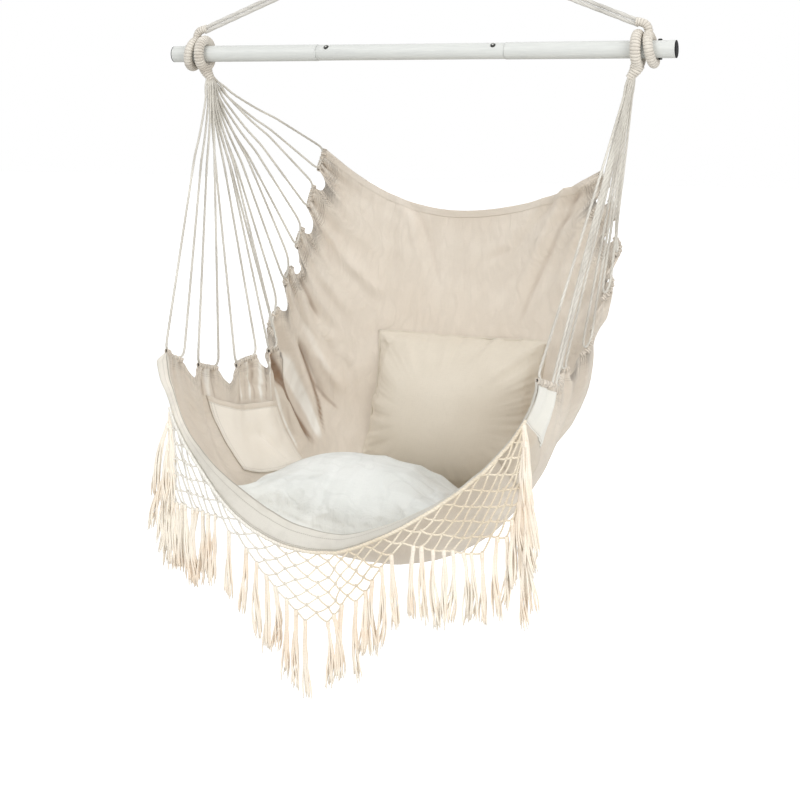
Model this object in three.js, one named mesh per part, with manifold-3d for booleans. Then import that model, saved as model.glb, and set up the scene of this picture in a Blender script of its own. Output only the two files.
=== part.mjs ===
// Hammock chair: a cloth sling that hangs by cords from a take-apart spreader bar, which hangs by
// ropes from a loop. Millimetres. X runs along the bar, -Y is the front, +Z is up. The origin is the
// throat of the hanging loop, where a hook bears.

import * as THREE from 'three';
import { mergeVertices } from 'three/addons/utils/BufferGeometryUtils.js';
import Module from 'manifold-3d';

const wasm = await Module();
wasm.setup();

// Clearances
const gap = 0.3;
const overrun = 5;

// Hanging loop and its whipping
const loopRopeRadius = 6;
const loopInnerRadius = 19;
const loopOpeningHeight = 62;
const whippingHeight = 34;
const whippingWall = 4.5;
const legSpacing = 2 * loopRopeRadius + 2 * gap;

// Suspension ropes and their eyes
const suspensionRise = 238;
const suspensionRopeRadius = 3.75;
const suspensionSpacing = 2 * (suspensionRopeRadius + gap);
const suspensionEyeRopeRadius = 8.8;
const suspensionEyeLean = THREE.MathUtils.degToRad(10);
const suspensionNeckRadius = 7.8;
const suspensionNeckRise = 51;
const ropeBendReach = 24;

// Spreader bar
const barLength = 1000;
const barRadius = 15.9;
const barWall = 1.5;
const middleLength = 374;
const middleRadius = 15.1;
const middleWall = 1.2;
const spigotLength = 60;
const capFlange = 1.7;
const capPlug = 15;
const capBevel = 1;
const pinRadius = 2.2;
const pinHeadRadius = 4;
const pinHeadHeight = 2.5;

// Snap buttons and their spring clips
const buttonRadius = 4;
const buttonInset = 21;
const buttonRise = 2.4;
const buttonPlay = 1.1;
const buttonShoulderShare = 0.85;
const buttonLean = THREE.MathUtils.degToRad(48);
const leafThickness = 0.8;
const leafWidth = 7;
const leafLength = 45;
const leafStart = 4;
const leafEnd = 8;

// Seat eyes, where the cords gather under the bar
const seatEyeRopeRadius = 9.85;
const seatEyeInset = 69;
const gatherDrop = 44;
const gatherInset = 10.6;
const gatherRadius = 15;
const gatherStemRadius = 8.5;
const gatherRows = 4;
const cordRadius = 2;
const cordSpacing = 2 * cordRadius + gap;
const cordBend = 12;

// Sling
const seatReach = 307;
const seatDrop = 912;
const seatHalfWidth = 345.5;
const slingThickness = 3;
const tabCount = 9;
const tabSlopeShare = 0.22;
const notchDepth = 24;
const tabFold = 8;
const foldStartShare = 0.45;
const armpitFold = 20;
const armpitTabShares = [4.4, 0.4];
const hemEdgeShare = 0.93;
const hemClearance = 2.2;
const slingColumnCount = 16;

// Pocket and arm tape, in whole cells of the sling's grid
const pocketThickness = 1.6;
const pocketOpening = 3;
const tapeThickness = 1.2;

// Net and its tassels
const netColumnCount = 20;
const netRowHeight = 22;
const netEndShares = [-0.73, 0.77];
const netStrand = 4;
const netThickness = 3;
const tasselLength = 120;
const tasselTopRadius = 3.4;
const tasselRadius = 7;

// Cushions
const seatCushionWidth = 428;
const seatCushionDepth = 312;
const seatCushionThickness = 172;
const seatCushionMiddleX = -22;
const backCushionWidth = 372;
const backCushionHeight = 305;
const backCushionThickness = 108;
const backCushionMiddle = 36;
const backCushionFootDrop = 852.5;
const backCushionBow = 62;
const cushionSpacing = 20;
const cushionSeam = 7;
const cushionCellCount = 14;
const cushionDrawInShare = 0.055;
const cushionCrownShare = 2.6;
const cushionRest = 4 * gap;

// Places that follow from the sizes above
const pivotZ = -(loopOpeningHeight + whippingHeight + gap + suspensionRopeRadius);
const barZ = pivotZ - suspensionRise;
const barEnd = barLength / 2;
const middleEnd = middleLength / 2;
const buttonX = middleEnd - buttonInset;
const seatEyeX = barEnd - seatEyeInset;

const ropeWhite = new THREE.MeshStandardMaterial({ color: 0xe8e2d8, roughness: 0.9, metalness: 0 });
const paintedTube = new THREE.MeshStandardMaterial({ color: 0xdadcd8, roughness: 0.4, metalness: 0.2 });
const blackPlastic = new THREE.MeshStandardMaterial({ color: 0x17171a, roughness: 0.5, metalness: 0 });
const springSteel = new THREE.MeshStandardMaterial({ color: 0x9a9a98, roughness: 0.35, metalness: 0.9 });
const canvasBeige = new THREE.MeshStandardMaterial({ color: 0xe1d7c8, roughness: 0.95, metalness: 0 });
const tapeWhite = new THREE.MeshStandardMaterial({ color: 0xe9e8e2, roughness: 0.9, metalness: 0 });
const netCream = new THREE.MeshStandardMaterial({ color: 0xf1e6d3, roughness: 0.95, metalness: 0 });
const cushionWhite = new THREE.MeshStandardMaterial({ color: 0xeaecea, roughness: 0.95, metalness: 0 });
const cushionBeige = new THREE.MeshStandardMaterial({ color: 0xddd0c0, roughness: 0.95, metalness: 0 });

const chair = new THREE.Group();

function addPiece(name, geometry, material) {
  const mesh = new THREE.Mesh(geometry, material);
  mesh.name = name;
  chair.add(mesh);
}

// Joining and cutting

function toSolid(geometry) {
  const bare = geometry.clone();
  bare.deleteAttribute('normal');
  bare.deleteAttribute('uv');
  const merged = mergeVertices(bare);
  const vertProperties = new Float32Array(merged.attributes.position.array);
  const triVerts = new Uint32Array(merged.index.array);
  return new wasm.Manifold(new wasm.Mesh({ numProp: 3, vertProperties, triVerts }));
}

function toGeometry(solid) {
  const mesh = solid.getMesh();
  const geometry = new THREE.BufferGeometry();
  geometry.setAttribute('position', new THREE.BufferAttribute(new Float32Array(mesh.vertProperties), 3));
  geometry.setIndex(new THREE.BufferAttribute(new Uint32Array(mesh.triVerts), 1));
  return geometry;
}

function join(...geometries) {
  return toGeometry(geometries.map(toSolid).reduce((whole, piece) => whole.add(piece)));
}

function cut(geometry, ...tools) {
  return toGeometry(tools.map(toSolid).reduce((whole, tool) => whole.subtract(tool), toSolid(geometry)));
}

// Ropes and tubes

class Route extends THREE.Curve {
  constructor(points) {
    super();
    this.points = points;
  }

  getPointAt(share, target = new THREE.Vector3()) {
    const place = share * (this.points.length - 1);
    const from = Math.min(Math.floor(place), this.points.length - 2);
    return target.copy(this.points[from]).lerp(this.points[from + 1], place - from);
  }

  getTangentAt(share, target = new THREE.Vector3()) {
    const last = this.points.length - 1;
    const middle = Math.round(share * last);
    const before = this.points[Math.max(middle - 1, 0)];
    const here = this.points[middle];
    const after = this.points[Math.min(middle + 1, last)];
    const arriving = here.clone().sub(before).normalize();
    const leaving = after.clone().sub(here).normalize();
    return target.copy(arriving).add(leaving).normalize();
  }
}

function roundSection(radius, sides) {
  const points = [];
  for (let side = 0; side < sides; side++) {
    const angle = (2 * Math.PI * side) / sides;
    points.push(new THREE.Vector2(radius * Math.cos(angle), radius * Math.sin(angle)));
  }
  return new THREE.Shape(points);
}

function rope(points, radius, sides) {
  const settings = { steps: points.length - 1, extrudePath: new Route(points), bevelEnabled: false };
  return new THREE.ExtrudeGeometry(roundSection(radius, sides), settings);
}

function alongX(profile, segments) {
  const points = profile.map(([x, radius]) => new THREE.Vector2(radius, x));
  return new THREE.LatheGeometry(points, segments).rotateZ(-Math.PI / 2);
}

// A closed profile for the side that it is on, drawn from the outer end inwards on the left
function mirrored(profile, side) {
  const placed = profile.map(([x, radius]) => [side * x, radius]);
  return side > 0 ? placed : placed.reverse();
}

// Hanging loop: two legs, bound by the whipping, and a round crown over the hook

const legTop = -(loopOpeningHeight - gap);
const legFoot = pivotZ + suspensionRopeRadius + gap;
const crownRadius = loopInnerRadius + loopRopeRadius;
const crownZ = loopRopeRadius - crownRadius;
const legX = legSpacing / 2;

function loopFlank(side) {
  const shoulder = new THREE.Vector3(side * crownRadius, 0, crownZ);
  const highPull = new THREE.Vector3(side * crownRadius, 0, crownZ - crownRadius / 2);
  const lowPull = new THREE.Vector3(side * legX, 0, legTop + loopRopeRadius);
  return [shoulder, highPull, lowPull, new THREE.Vector3(side * legX, 0, legTop)];
}

const crown = [];
const crownStepCount = 8;
for (let step = 0; step <= crownStepCount; step++) {
  const angle = Math.PI * (1 - step / crownStepCount);
  crown.push(new THREE.Vector3(crownRadius * Math.cos(angle), 0, crownZ + crownRadius * Math.sin(angle)));
}
const loopPath = new THREE.CurvePath();
const [leftFoot, rightFoot] = [-legX, legX].map((x) => new THREE.Vector3(x, 0, legFoot));
loopPath.add(new THREE.LineCurve3(leftFoot, new THREE.Vector3(-legX, 0, legTop)));
loopPath.add(new THREE.CubicBezierCurve3(...loopFlank(-1).reverse()));
loopPath.add(new THREE.CatmullRomCurve3(crown));
loopPath.add(new THREE.CubicBezierCurve3(...loopFlank(1)));
loopPath.add(new THREE.LineCurve3(new THREE.Vector3(legX, 0, legTop), rightFoot));
addPiece('hanging_loop', rope(loopPath.getSpacedPoints(30), loopRopeRadius, 10), ropeWhite);

function stadium(halfWidth, radius) {
  const shape = new THREE.Shape();
  const straight = halfWidth - radius;
  shape.moveTo(-straight, -radius);
  shape.lineTo(straight, -radius);
  shape.absarc(straight, 0, radius, -Math.PI / 2, Math.PI / 2, false);
  shape.lineTo(-straight, radius);
  shape.absarc(-straight, 0, radius, Math.PI / 2, (3 * Math.PI) / 2, false);
  return shape;
}

const boreRadius = loopRopeRadius + 2 * gap;
const boreHalfWidth = legX + boreRadius;
const sleeve = stadium(boreHalfWidth + whippingWall, boreRadius + whippingWall);
sleeve.holes.push(stadium(boreHalfWidth, boreRadius));
const sleeveSettings = { depth: whippingHeight - 2 * gap, bevelEnabled: false, curveSegments: 8 };
const whipping = new THREE.ExtrudeGeometry(sleeve, sleeveSettings).translate(0, 0, legFoot + gap);
addPiece('loop_whipping', whipping, ropeWhite);

// Rope eyes round the bar

const eyeSegmentCount = 20;
const eyeHole = (barRadius + gap) / Math.cos(Math.PI / eyeSegmentCount);
const seatEyeOuter = eyeHole + 2 * seatEyeRopeRadius;
const suspensionEyeRadius = eyeHole + suspensionEyeRopeRadius;
const leanShift = suspensionEyeRadius * Math.sin(suspensionEyeLean);
const suspensionEyeX = seatEyeX + seatEyeRopeRadius + gap + suspensionEyeRopeRadius + leanShift;

// The eye's neck ends square to the ropes, on the line from the seat eye to the swing axis
const neckFoot = new THREE.Vector2(seatEyeX - seatEyeRopeRadius, barZ + suspensionNeckRise);
const ropeMeeting = new THREE.Vector2(suspensionSpacing, pivotZ - ropeBendReach);
const ropeAlong = ropeMeeting.clone().sub(neckFoot).normalize();
const neckEnd = neckFoot.clone().addScaledVector(ropeAlong, suspensionNeckRadius);

function suspensionEye(side) {
  const ring = new THREE.TorusGeometry(suspensionEyeRadius, suspensionEyeRopeRadius, 8, eyeSegmentCount);
  ring.rotateY(Math.PI / 2);
  ring.scale(1, 1, 1 / Math.cos(suspensionEyeLean));
  ring.rotateY(-side * suspensionEyeLean);
  ring.translate(side * suspensionEyeX, 0, barZ);
  const topX = suspensionEyeX - leanShift;
  const overX = seatEyeX + seatEyeRopeRadius + gap;
  const overZ = seatEyeOuter + 2 * gap + suspensionNeckRadius;
  const route = [
    [topX, suspensionEyeRadius],
    [overX + suspensionNeckRadius + gap, seatEyeOuter],
    [overX + suspensionNeckRadius / 2, overZ - gap],
    [overX - suspensionNeckRadius / 2, (overZ + suspensionNeckRise) / 2],
    [neckFoot.x, suspensionNeckRise],
    [neckEnd.x, neckEnd.y - barZ],
  ];
  const points = route.map(([x, rise]) => new THREE.Vector3(side * x, 0, barZ + rise));
  return join(ring, rope(points, suspensionNeckRadius, 10));
}

// Two ropes a side run from the eye's neck to the swing axis, where their round tops sit
function suspensionRope(side, upper) {
  const across = new THREE.Vector2(ropeAlong.y, -ropeAlong.x);
  const offset = across.multiplyScalar((upper * suspensionSpacing) / 2);
  const start = neckEnd.clone().addScaledVector(ropeAlong, gap).add(offset);
  const topX = suspensionSpacing * (1 + upper / 2);
  const slope = ropeAlong.y / ropeAlong.x;
  const levelAt = (x) => start.y + slope * (x - start.x);
  const cornerZ = levelAt(topX);
  const bendX = topX + ropeBendReach;
  const bendStart = new THREE.Vector2(bendX, levelAt(bendX));
  const bend = new THREE.QuadraticBezierCurve(
    bendStart,
    new THREE.Vector2(topX, cornerZ),
    new THREE.Vector2(topX, (cornerZ + 2 * pivotZ) / 3),
  );
  const halfway = start.clone().lerp(bendStart, 1 / 2);
  const route = [start, halfway, ...bend.getPoints(5), new THREE.Vector2(topX, pivotZ)];
  const points = route.map((point) => new THREE.Vector3(side * point.x, 0, point.y));
  const tube = rope(points, suspensionRopeRadius, 10);
  const top = new THREE.SphereGeometry(suspensionRopeRadius, 10, 8).rotateX(Math.PI / 2);
  top.translate(side * topX, 0, pivotZ);
  return join(tube, top);
}

// Spreader bar: two outer tubes whose reduced spigots slide into the middle tube

const holeRadius = buttonRadius + buttonPlay;

function placeClip(geometry, side) {
  geometry.rotateX(buttonLean);
  return geometry.translate(side * buttonX, 0, barZ);
}

function buttonHole(side) {
  const length = middleRadius + overrun;
  const drill = new THREE.CylinderGeometry(holeRadius, holeRadius, length, 16).rotateX(Math.PI / 2);
  return placeClip(drill.translate(0, 0, length / 2 + buttonRadius), side);
}

function outerTube(side) {
  const shoulder = middleEnd + gap;
  const tip = shoulder - spigotLength;
  const end = barEnd - capFlange - gap;
  const spigotOuter = middleRadius - middleWall - gap;
  const spigotInner = spigotOuter - barWall;
  const profile = [
    [tip, spigotInner],
    [tip, spigotOuter],
    [shoulder, spigotOuter],
    [shoulder, barRadius],
    [end, barRadius],
    [end, barRadius - barWall],
    [shoulder + 2 * barWall, barRadius - barWall],
    [shoulder + 2 * barWall, spigotInner],
    [tip, spigotInner],
  ];
  const tube = alongX(mirrored(profile, side), 28).translate(0, 0, barZ);
  const drillLength = 2 * (barRadius + overrun);
  const drill = new THREE.CylinderGeometry(pinRadius + gap, pinRadius + gap, drillLength, 12);
  drill.rotateX(Math.PI / 2).translate(side * pinX, 0, barZ);
  return cut(tube, drill, buttonHole(side));
}

function middleTube() {
  const inner = middleRadius - middleWall;
  const profile = [
    [-middleEnd, inner],
    [-middleEnd, middleRadius],
    [middleEnd, middleRadius],
    [middleEnd, inner],
    [-middleEnd, inner],
  ];
  const tube = alongX(profile, 28).translate(0, 0, barZ);
  return cut(tube, buttonHole(-1), buttonHole(1));
}

function endCap(side) {
  const plugRadius = barRadius - barWall - gap;
  const seat = barEnd - capFlange;
  const profile = [
    [seat - capPlug, 0],
    [seat - capPlug, plugRadius],
    [seat, plugRadius],
    [seat, barRadius],
    [barEnd - capBevel, barRadius],
    [barEnd, barRadius - capBevel],
    [barEnd, 0],
  ];
  return alongX(mirrored(profile, side), 28).translate(0, 0, barZ);
}

// Stop pin: a headed bolt through the bar that keeps the ropes off its end
const pinX = suspensionEyeX + leanShift + suspensionEyeRopeRadius + gap + pinRadius;

function stopPin(side) {
  const seat = barRadius + gap;
  const profile = [
    [-seat - pinHeadHeight, 0],
    [-seat - pinHeadHeight, pinHeadRadius],
    [-seat, pinHeadRadius],
    [-seat, pinRadius],
    [seat, pinRadius],
    [seat, pinHeadRadius],
    [seat + pinHeadHeight, pinHeadRadius],
    [seat + pinHeadHeight, 0],
  ];
  const points = profile.map(([height, radius]) => new THREE.Vector2(radius, height));
  return new THREE.LatheGeometry(points, 12).rotateX(Math.PI / 2).translate(side * pinX, 0, barZ);
}

// Snap clip: a bent base rests on the spigot's far wall, its leaf carries the button to the hole

const spigotBore = middleRadius - middleWall - gap - barWall;
const baseLevel = Math.sqrt(spigotBore ** 2 - (leafWidth / 2) ** 2) - gap;

function strip(outline, side) {
  const shape = new THREE.Shape(outline.map(([x, height]) => new THREE.Vector2(x, height)));
  const solid = new THREE.ExtrudeGeometry(shape, { depth: leafWidth, bevelEnabled: false });
  solid.translate(0, 0, -leafWidth / 2).rotateX(Math.PI / 2);
  if (side < 0) solid.rotateZ(Math.PI);
  return placeClip(solid, side);
}

function springBase(side) {
  const inside = leafThickness - baseLevel;
  return strip([
    [-buttonRadius, -baseLevel],
    [leafLength + leafThickness + gap, -baseLevel],
    [leafLength + leafThickness + gap, leafStart],
    [leafLength + gap, leafStart],
    [leafLength + gap, inside],
    [-buttonRadius, inside],
  ], side);
}

function springLeaf(side) {
  const lift = leafEnd - leafStart;
  return strip([
    [-buttonRadius, leafEnd - leafThickness],
    [buttonRadius, leafEnd - leafThickness],
    [leafLength, leafEnd - lift - leafThickness],
    [leafLength, leafEnd - lift],
    [buttonRadius, leafEnd],
    [-buttonRadius, leafEnd],
  ], side);
}

function snapButton(side) {
  const top = middleRadius + buttonRise;
  const profile = [
    [leafEnd + gap, 0],
    [leafEnd + gap, buttonRadius],
    [top - buttonRise / 2, buttonRadius],
    [top - buttonRise / 4, buttonRadius * buttonShoulderShare],
    [top, buttonRadius / 2],
    [top, 0],
  ];
  const points = profile.map(([height, radius]) => new THREE.Vector2(radius, height));
  return placeClip(new THREE.LatheGeometry(points, 14).rotateX(Math.PI / 2), side);
}

// Seat eye: a ring round the bar, a stem and the round end that the cords fan out from

const gatherX = seatEyeX - gatherInset;
const gatherZ = barZ - gatherDrop;
const gatherEndRadius = gatherRadius - cordRadius / 2 - gap / 3;

function seatEye(side) {
  const ring = new THREE.TorusGeometry(eyeHole + seatEyeRopeRadius, seatEyeRopeRadius, 8, eyeSegmentCount);
  ring.rotateY(Math.PI / 2).translate(side * seatEyeX, 0, barZ);
  const ringFoot = new THREE.Vector3(side * seatEyeX, 0, barZ - eyeHole - seatEyeRopeRadius);
  const gather = new THREE.Vector3(side * gatherX, 0, gatherZ);
  const stem = rope([ringFoot, gather], gatherStemRadius, 10);
  const width = gatherRows * cordSpacing + gap;
  const end = new THREE.CylinderGeometry(gatherEndRadius, gatherEndRadius, width, 20).rotateZ(Math.PI / 2);
  end.translate(gather.x, gather.y, gather.z);
  return join(ring, stem, end);
}

// Sling surface: u runs from the left hem (-1) to the right hem (1), v counts the tabs from the
// front hem to the top of the back. Each row of shares is one notch between tabs.

const centreShares = [
  [-1, 0.902], [-0.733, 0.968], [-0.407, 1], [-0.049, 1], [0.277, 0.952],
  [0.489, 0.85], [0.635, 0.729], [0.749, 0.603], [0.853, 0.474], [0.945, 0.344],
];
const leftHemShares = [
  [-1, -1, 0.589], [-0.987, -0.7, 0.627], [-0.916, -0.391, 0.652], [-0.851, -0.033, 0.636],
  [-0.839, 0.195, 0.63], [-0.91, 0.391, 0.532], [-0.902, 0.537, 0.453], [-0.885, 0.668, 0.367],
  [-0.864, 0.798, 0.273], [-0.85, 0.897, 0.214],
];
const rightHemShares = [
  [1, -1, 0.596], [0.987, -0.7, 0.627], [0.916, -0.391, 0.652], [0.851, -0.033, 0.636],
  [0.839, 0.195, 0.63], [0.945, 0.391, 0.532], [1.02, 0.515, 0.44], [0.99, 0.65, 0.367],
  [0.92, 0.79, 0.293], [0.86, 0.897, 0.255],
];
const leftFullnessShares = [1.85, 2, 2.2, 2.3, 2.3, 2.2, 2, 1.9, 1.8, 1.7];
const rightFullnessShares = [1.47, 1.8, 2.14, 2.3, 2.3, 2.2, 2, 1.9, 1.8, 1.7];
const flatShares = [0, 0, 0, 0, 0, 0.1, 0.35, 0.6, 0.85, 1];

function hemCurve(shares) {
  const points = shares.map(([x, y, drop]) => {
    return new THREE.Vector3(x * seatHalfWidth, y * seatReach, barZ - drop * seatDrop);
  });
  return new THREE.CatmullRomCurve3(points);
}

const centreCurve = hemCurve(centreShares.map(([y, drop]) => [0, y, drop]));
const leftHem = hemCurve(leftHemShares);
const rightHem = hemCurve(rightHemShares);

function readShare(shares, v) {
  const from = Math.min(Math.floor(v), tabCount - 1);
  return THREE.MathUtils.lerp(shares[from], shares[from + 1], v - from);
}

function slingPoint(u, v) {
  const centre = centreCurve.getPoint(v / tabCount);
  const edge = (u < 0 ? leftHem : rightHem).getPoint(v / tabCount);
  const angle = (Math.min(Math.abs(u), 1) * Math.PI) / 2;
  const power = 2 / readShare(u < 0 ? leftFullnessShares : rightFullnessShares, v);
  const flat = readShare(flatShares, v);
  const across = THREE.MathUtils.lerp(Math.sin(angle) ** power, Math.abs(u), flat);
  const rise = THREE.MathUtils.lerp(1 - Math.cos(angle) ** power, u * u, flat);
  return new THREE.Vector3(
    edge.x * across,
    THREE.MathUtils.lerp(centre.y, edge.y, rise),
    THREE.MathUtils.lerp(centre.z, edge.z, rise),
  );
}

// The surface is measured a little inside its hem, where it has no corner
const normalStepShare = 0.02;
const normalEdgeShares = [0.999, 0.97];

function slingNormal(u, v) {
  const [hemEdge, innerEdge] = normalEdgeShares;
  const low = Math.max(u - normalStepShare, -hemEdge);
  const high = Math.min(u + normalStepShare, hemEdge);
  const before = Math.max(v - normalStepShare, 0);
  const after = Math.min(v + normalStepShare, tabCount);
  const across = slingPoint(high, v).sub(slingPoint(low, v));
  const inner = THREE.MathUtils.clamp(u, -innerEdge, innerEdge);
  const along = slingPoint(inner, after).sub(slingPoint(inner, before));
  return across.cross(along).normalize();
}

// Folds gather at the tabs and fade towards the middle, with one deep pleat at each armpit
function foldDepth(u, v) {
  const fade = THREE.MathUtils.smoothstep(Math.abs(u), foldStartShare, 1);
  const tabWave = Math.cos(2 * Math.PI * v);
  const [armpit, spread] = armpitTabShares;
  const pleat = Math.exp(-(((v - armpit) / spread) ** 2));
  return fade * (tabFold * tabWave - armpitFold * pleat);
}

// How far towards the hem the cloth reaches at the bottom of a notch
function hemShare(v) {
  const edge = slingPoint(1, v).distanceTo(slingPoint(hemEdgeShare, v));
  return 1 - ((1 - hemEdgeShare) * notchDepth) / edge;
}

const tabRows = [];
for (let tab = 0; tab < tabCount; tab++) {
  const first = tab === 0 ? 0 : tab + tabSlopeShare;
  const last = tab === tabCount - 1 ? tabCount : tab + 1 - tabSlopeShare;
  tabRows.push([first, tab + 0.5, last]);
}
const slingRows = tabRows.flatMap((row, tab) => (tab === 0 ? row : [tab, ...row]));

function isNotch(v) {
  return Number.isInteger(v) && v > 0 && v < tabCount;
}

function slingVertex(column, row, lift) {
  const v = slingRows[row];
  const reach = isNotch(v) ? hemShare(v) : 1;
  const u = (2 * column / slingColumnCount - 1) * reach;
  return slingPoint(u, v).addScaledVector(slingNormal(u, v), foldDepth(u, v) + lift);
}

// A closed sheet between two faces of the same grid: face(column, row, side) gives each corner
function sheetSolid(columns, rows, face) {
  const corners = [];
  const index = [];
  const at = (column, row, side) => (row * (columns + 1) + column) * 2 + side;
  for (let row = 0; row <= rows; row++) {
    for (let column = 0; column <= columns; column++) {
      corners.push(...face(column, row, 0).toArray(), ...face(column, row, 1).toArray());
    }
  }
  const quad = (a, b, c, d) => index.push(a, b, c, a, c, d);
  for (let row = 0; row < rows; row++) {
    for (let column = 0; column < columns; column++) {
      quad(at(column, row, 1), at(column + 1, row, 1), at(column + 1, row + 1, 1), at(column, row + 1, 1));
      quad(at(column, row, 0), at(column, row + 1, 0), at(column + 1, row + 1, 0), at(column + 1, row, 0));
    }
  }
  for (let column = 0; column < columns; column++) {
    quad(at(column, 0, 0), at(column + 1, 0, 0), at(column + 1, 0, 1), at(column, 0, 1));
    quad(at(column, rows, 1), at(column + 1, rows, 1), at(column + 1, rows, 0), at(column, rows, 0));
  }
  for (let row = 0; row < rows; row++) {
    quad(at(0, row, 1), at(0, row + 1, 1), at(0, row + 1, 0), at(0, row, 0));
    quad(at(columns, row, 0), at(columns, row + 1, 0), at(columns, row + 1, 1), at(columns, row, 1));
  }
  const geometry = new THREE.BufferGeometry();
  geometry.setAttribute('position', new THREE.BufferAttribute(new Float32Array(corners), 3));
  geometry.setIndex(index);
  return geometry;
}

const halfSling = slingThickness / 2;
const slingFace = (column, row, side) => slingVertex(column, row, side ? halfSling : -halfSling);
const slingSteps = slingRows.length - 1;

// Seat cords: one cord a tab, from the seat eye down through the tab's hem and back up

function hemPoint(side, v) {
  const folded = (u) => slingPoint(u, v).addScaledVector(slingNormal(u, v), foldDepth(u, v));
  const edge = folded(side);
  const outward = edge.clone().sub(folded(side * hemEdgeShare)).normalize();
  return edge.addScaledVector(outward, cordRadius + hemClearance);
}

function cordTop(side, hem, order) {
  const gather = new THREE.Vector3(side * gatherX, 0, gatherZ);
  const along = hem.clone().sub(gather).normalize();
  const reach = gatherRadius / Math.hypot(along.y, along.z);
  const lane = ((order % gatherRows) - (gatherRows - 1) / 2) * cordSpacing;
  return gather.addScaledVector(along, reach).add(new THREE.Vector3(lane, 0, 0));
}

function seatCord(side, tab) {
  const [first, middle, last] = tabRows[tab].map((v) => hemPoint(side, v));
  const firstTop = cordTop(side, first, 2 * tab);
  const lastTop = cordTop(side, last, 2 * tab + 1);
  const firstBend = first.clone().add(firstTop.clone().sub(first).setLength(cordBend));
  const lastBend = last.clone().add(lastTop.clone().sub(last).setLength(cordBend));
  return rope([firstTop, firstBend, first, middle, last, lastBend, lastTop], cordRadius, 6);
}

// Pocket on the inside of the left arm, and the plain tape outside the right arm's front corner

// Left, right, front and back cell
const pocketCellShares = [1, 3, 5, 11];
const tapeCellShares = [13, 15, 0, 3];

function pocketFace(column, row, side) {
  const [left, right, front, back] = pocketCellShares;
  const down = column / (right - left);
  const along = row / (back - front);
  const bulge = pocketOpening * (1 - down) * Math.sin(Math.PI * along);
  const lift = halfSling + gap + bulge + side * pocketThickness;
  return slingVertex(left + column, front + row, lift);
}

function tapeFace(column, row, side) {
  const lift = -(halfSling + gap + (1 - side) * tapeThickness);
  const [left, , front] = tapeCellShares;
  return slingVertex(left + column, front + row, lift);
}

// Net: diamonds of cord between knots that hang in rows under the front hem

const netDepthShares = [
  [0, 6.2], [0.03, 7.2], [0.12, 4.6], [0.18, 3.3], [0.24, 3], [0.31, 4.4], [0.37, 5.9],
  [0.47, 6.9], [0.57, 5], [0.64, 3.5], [0.69, 2.5], [0.75, 3.4], [0.84, 5.8], [0.94, 6.5], [1, 4.8],
];

function netDepth(share) {
  const after = Math.max(netDepthShares.findIndex(([place]) => place >= share), 1);
  const [fromPlace, from] = netDepthShares[after - 1];
  const [toPlace, to] = netDepthShares[after];
  return THREE.MathUtils.lerp(from, to, (share - fromPlace) / (toPlace - fromPlace));
}

// The hem is followed along its straight facets, so that the net hangs just clear of it
function hemFacet(u) {
  const place = ((u + 1) * slingColumnCount) / 2;
  const column = Math.min(Math.floor(place), slingColumnCount - 1);
  const from = slingVertex(column, 0, 0);
  return from.lerp(slingVertex(column + 1, 0, 0), place - column);
}

function knotPlace(column, row) {
  const share = (column + (row % 2) / 2) / netColumnCount;
  const hem = hemFacet(THREE.MathUtils.lerp(...netEndShares, share));
  const forward = netThickness / 2 + slingThickness + gap;
  return hem.add(new THREE.Vector3(0, -forward, -row * netRowHeight - netStrand));
}

function knotKey(column, row) {
  return `${column},${row}`;
}

function netKnots() {
  const knots = new Map();
  const mostRows = Math.ceil(Math.max(...netDepthShares.map(([, depth]) => depth)));
  for (let row = 0; row <= mostRows; row++) {
    for (let column = 0; column <= netColumnCount - (row % 2); column++) {
      const share = (column + (row % 2) / 2) / netColumnCount;
      const above = row % 2 ? [column, column + 1] : [column - 1, column];
      const held = row === 0 || above.some((place) => knots.has(knotKey(place, row - 1)));
      if (held && row <= netDepth(share)) knots.set(knotKey(column, row), { column, row });
    }
  }
  return knots;
}

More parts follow.
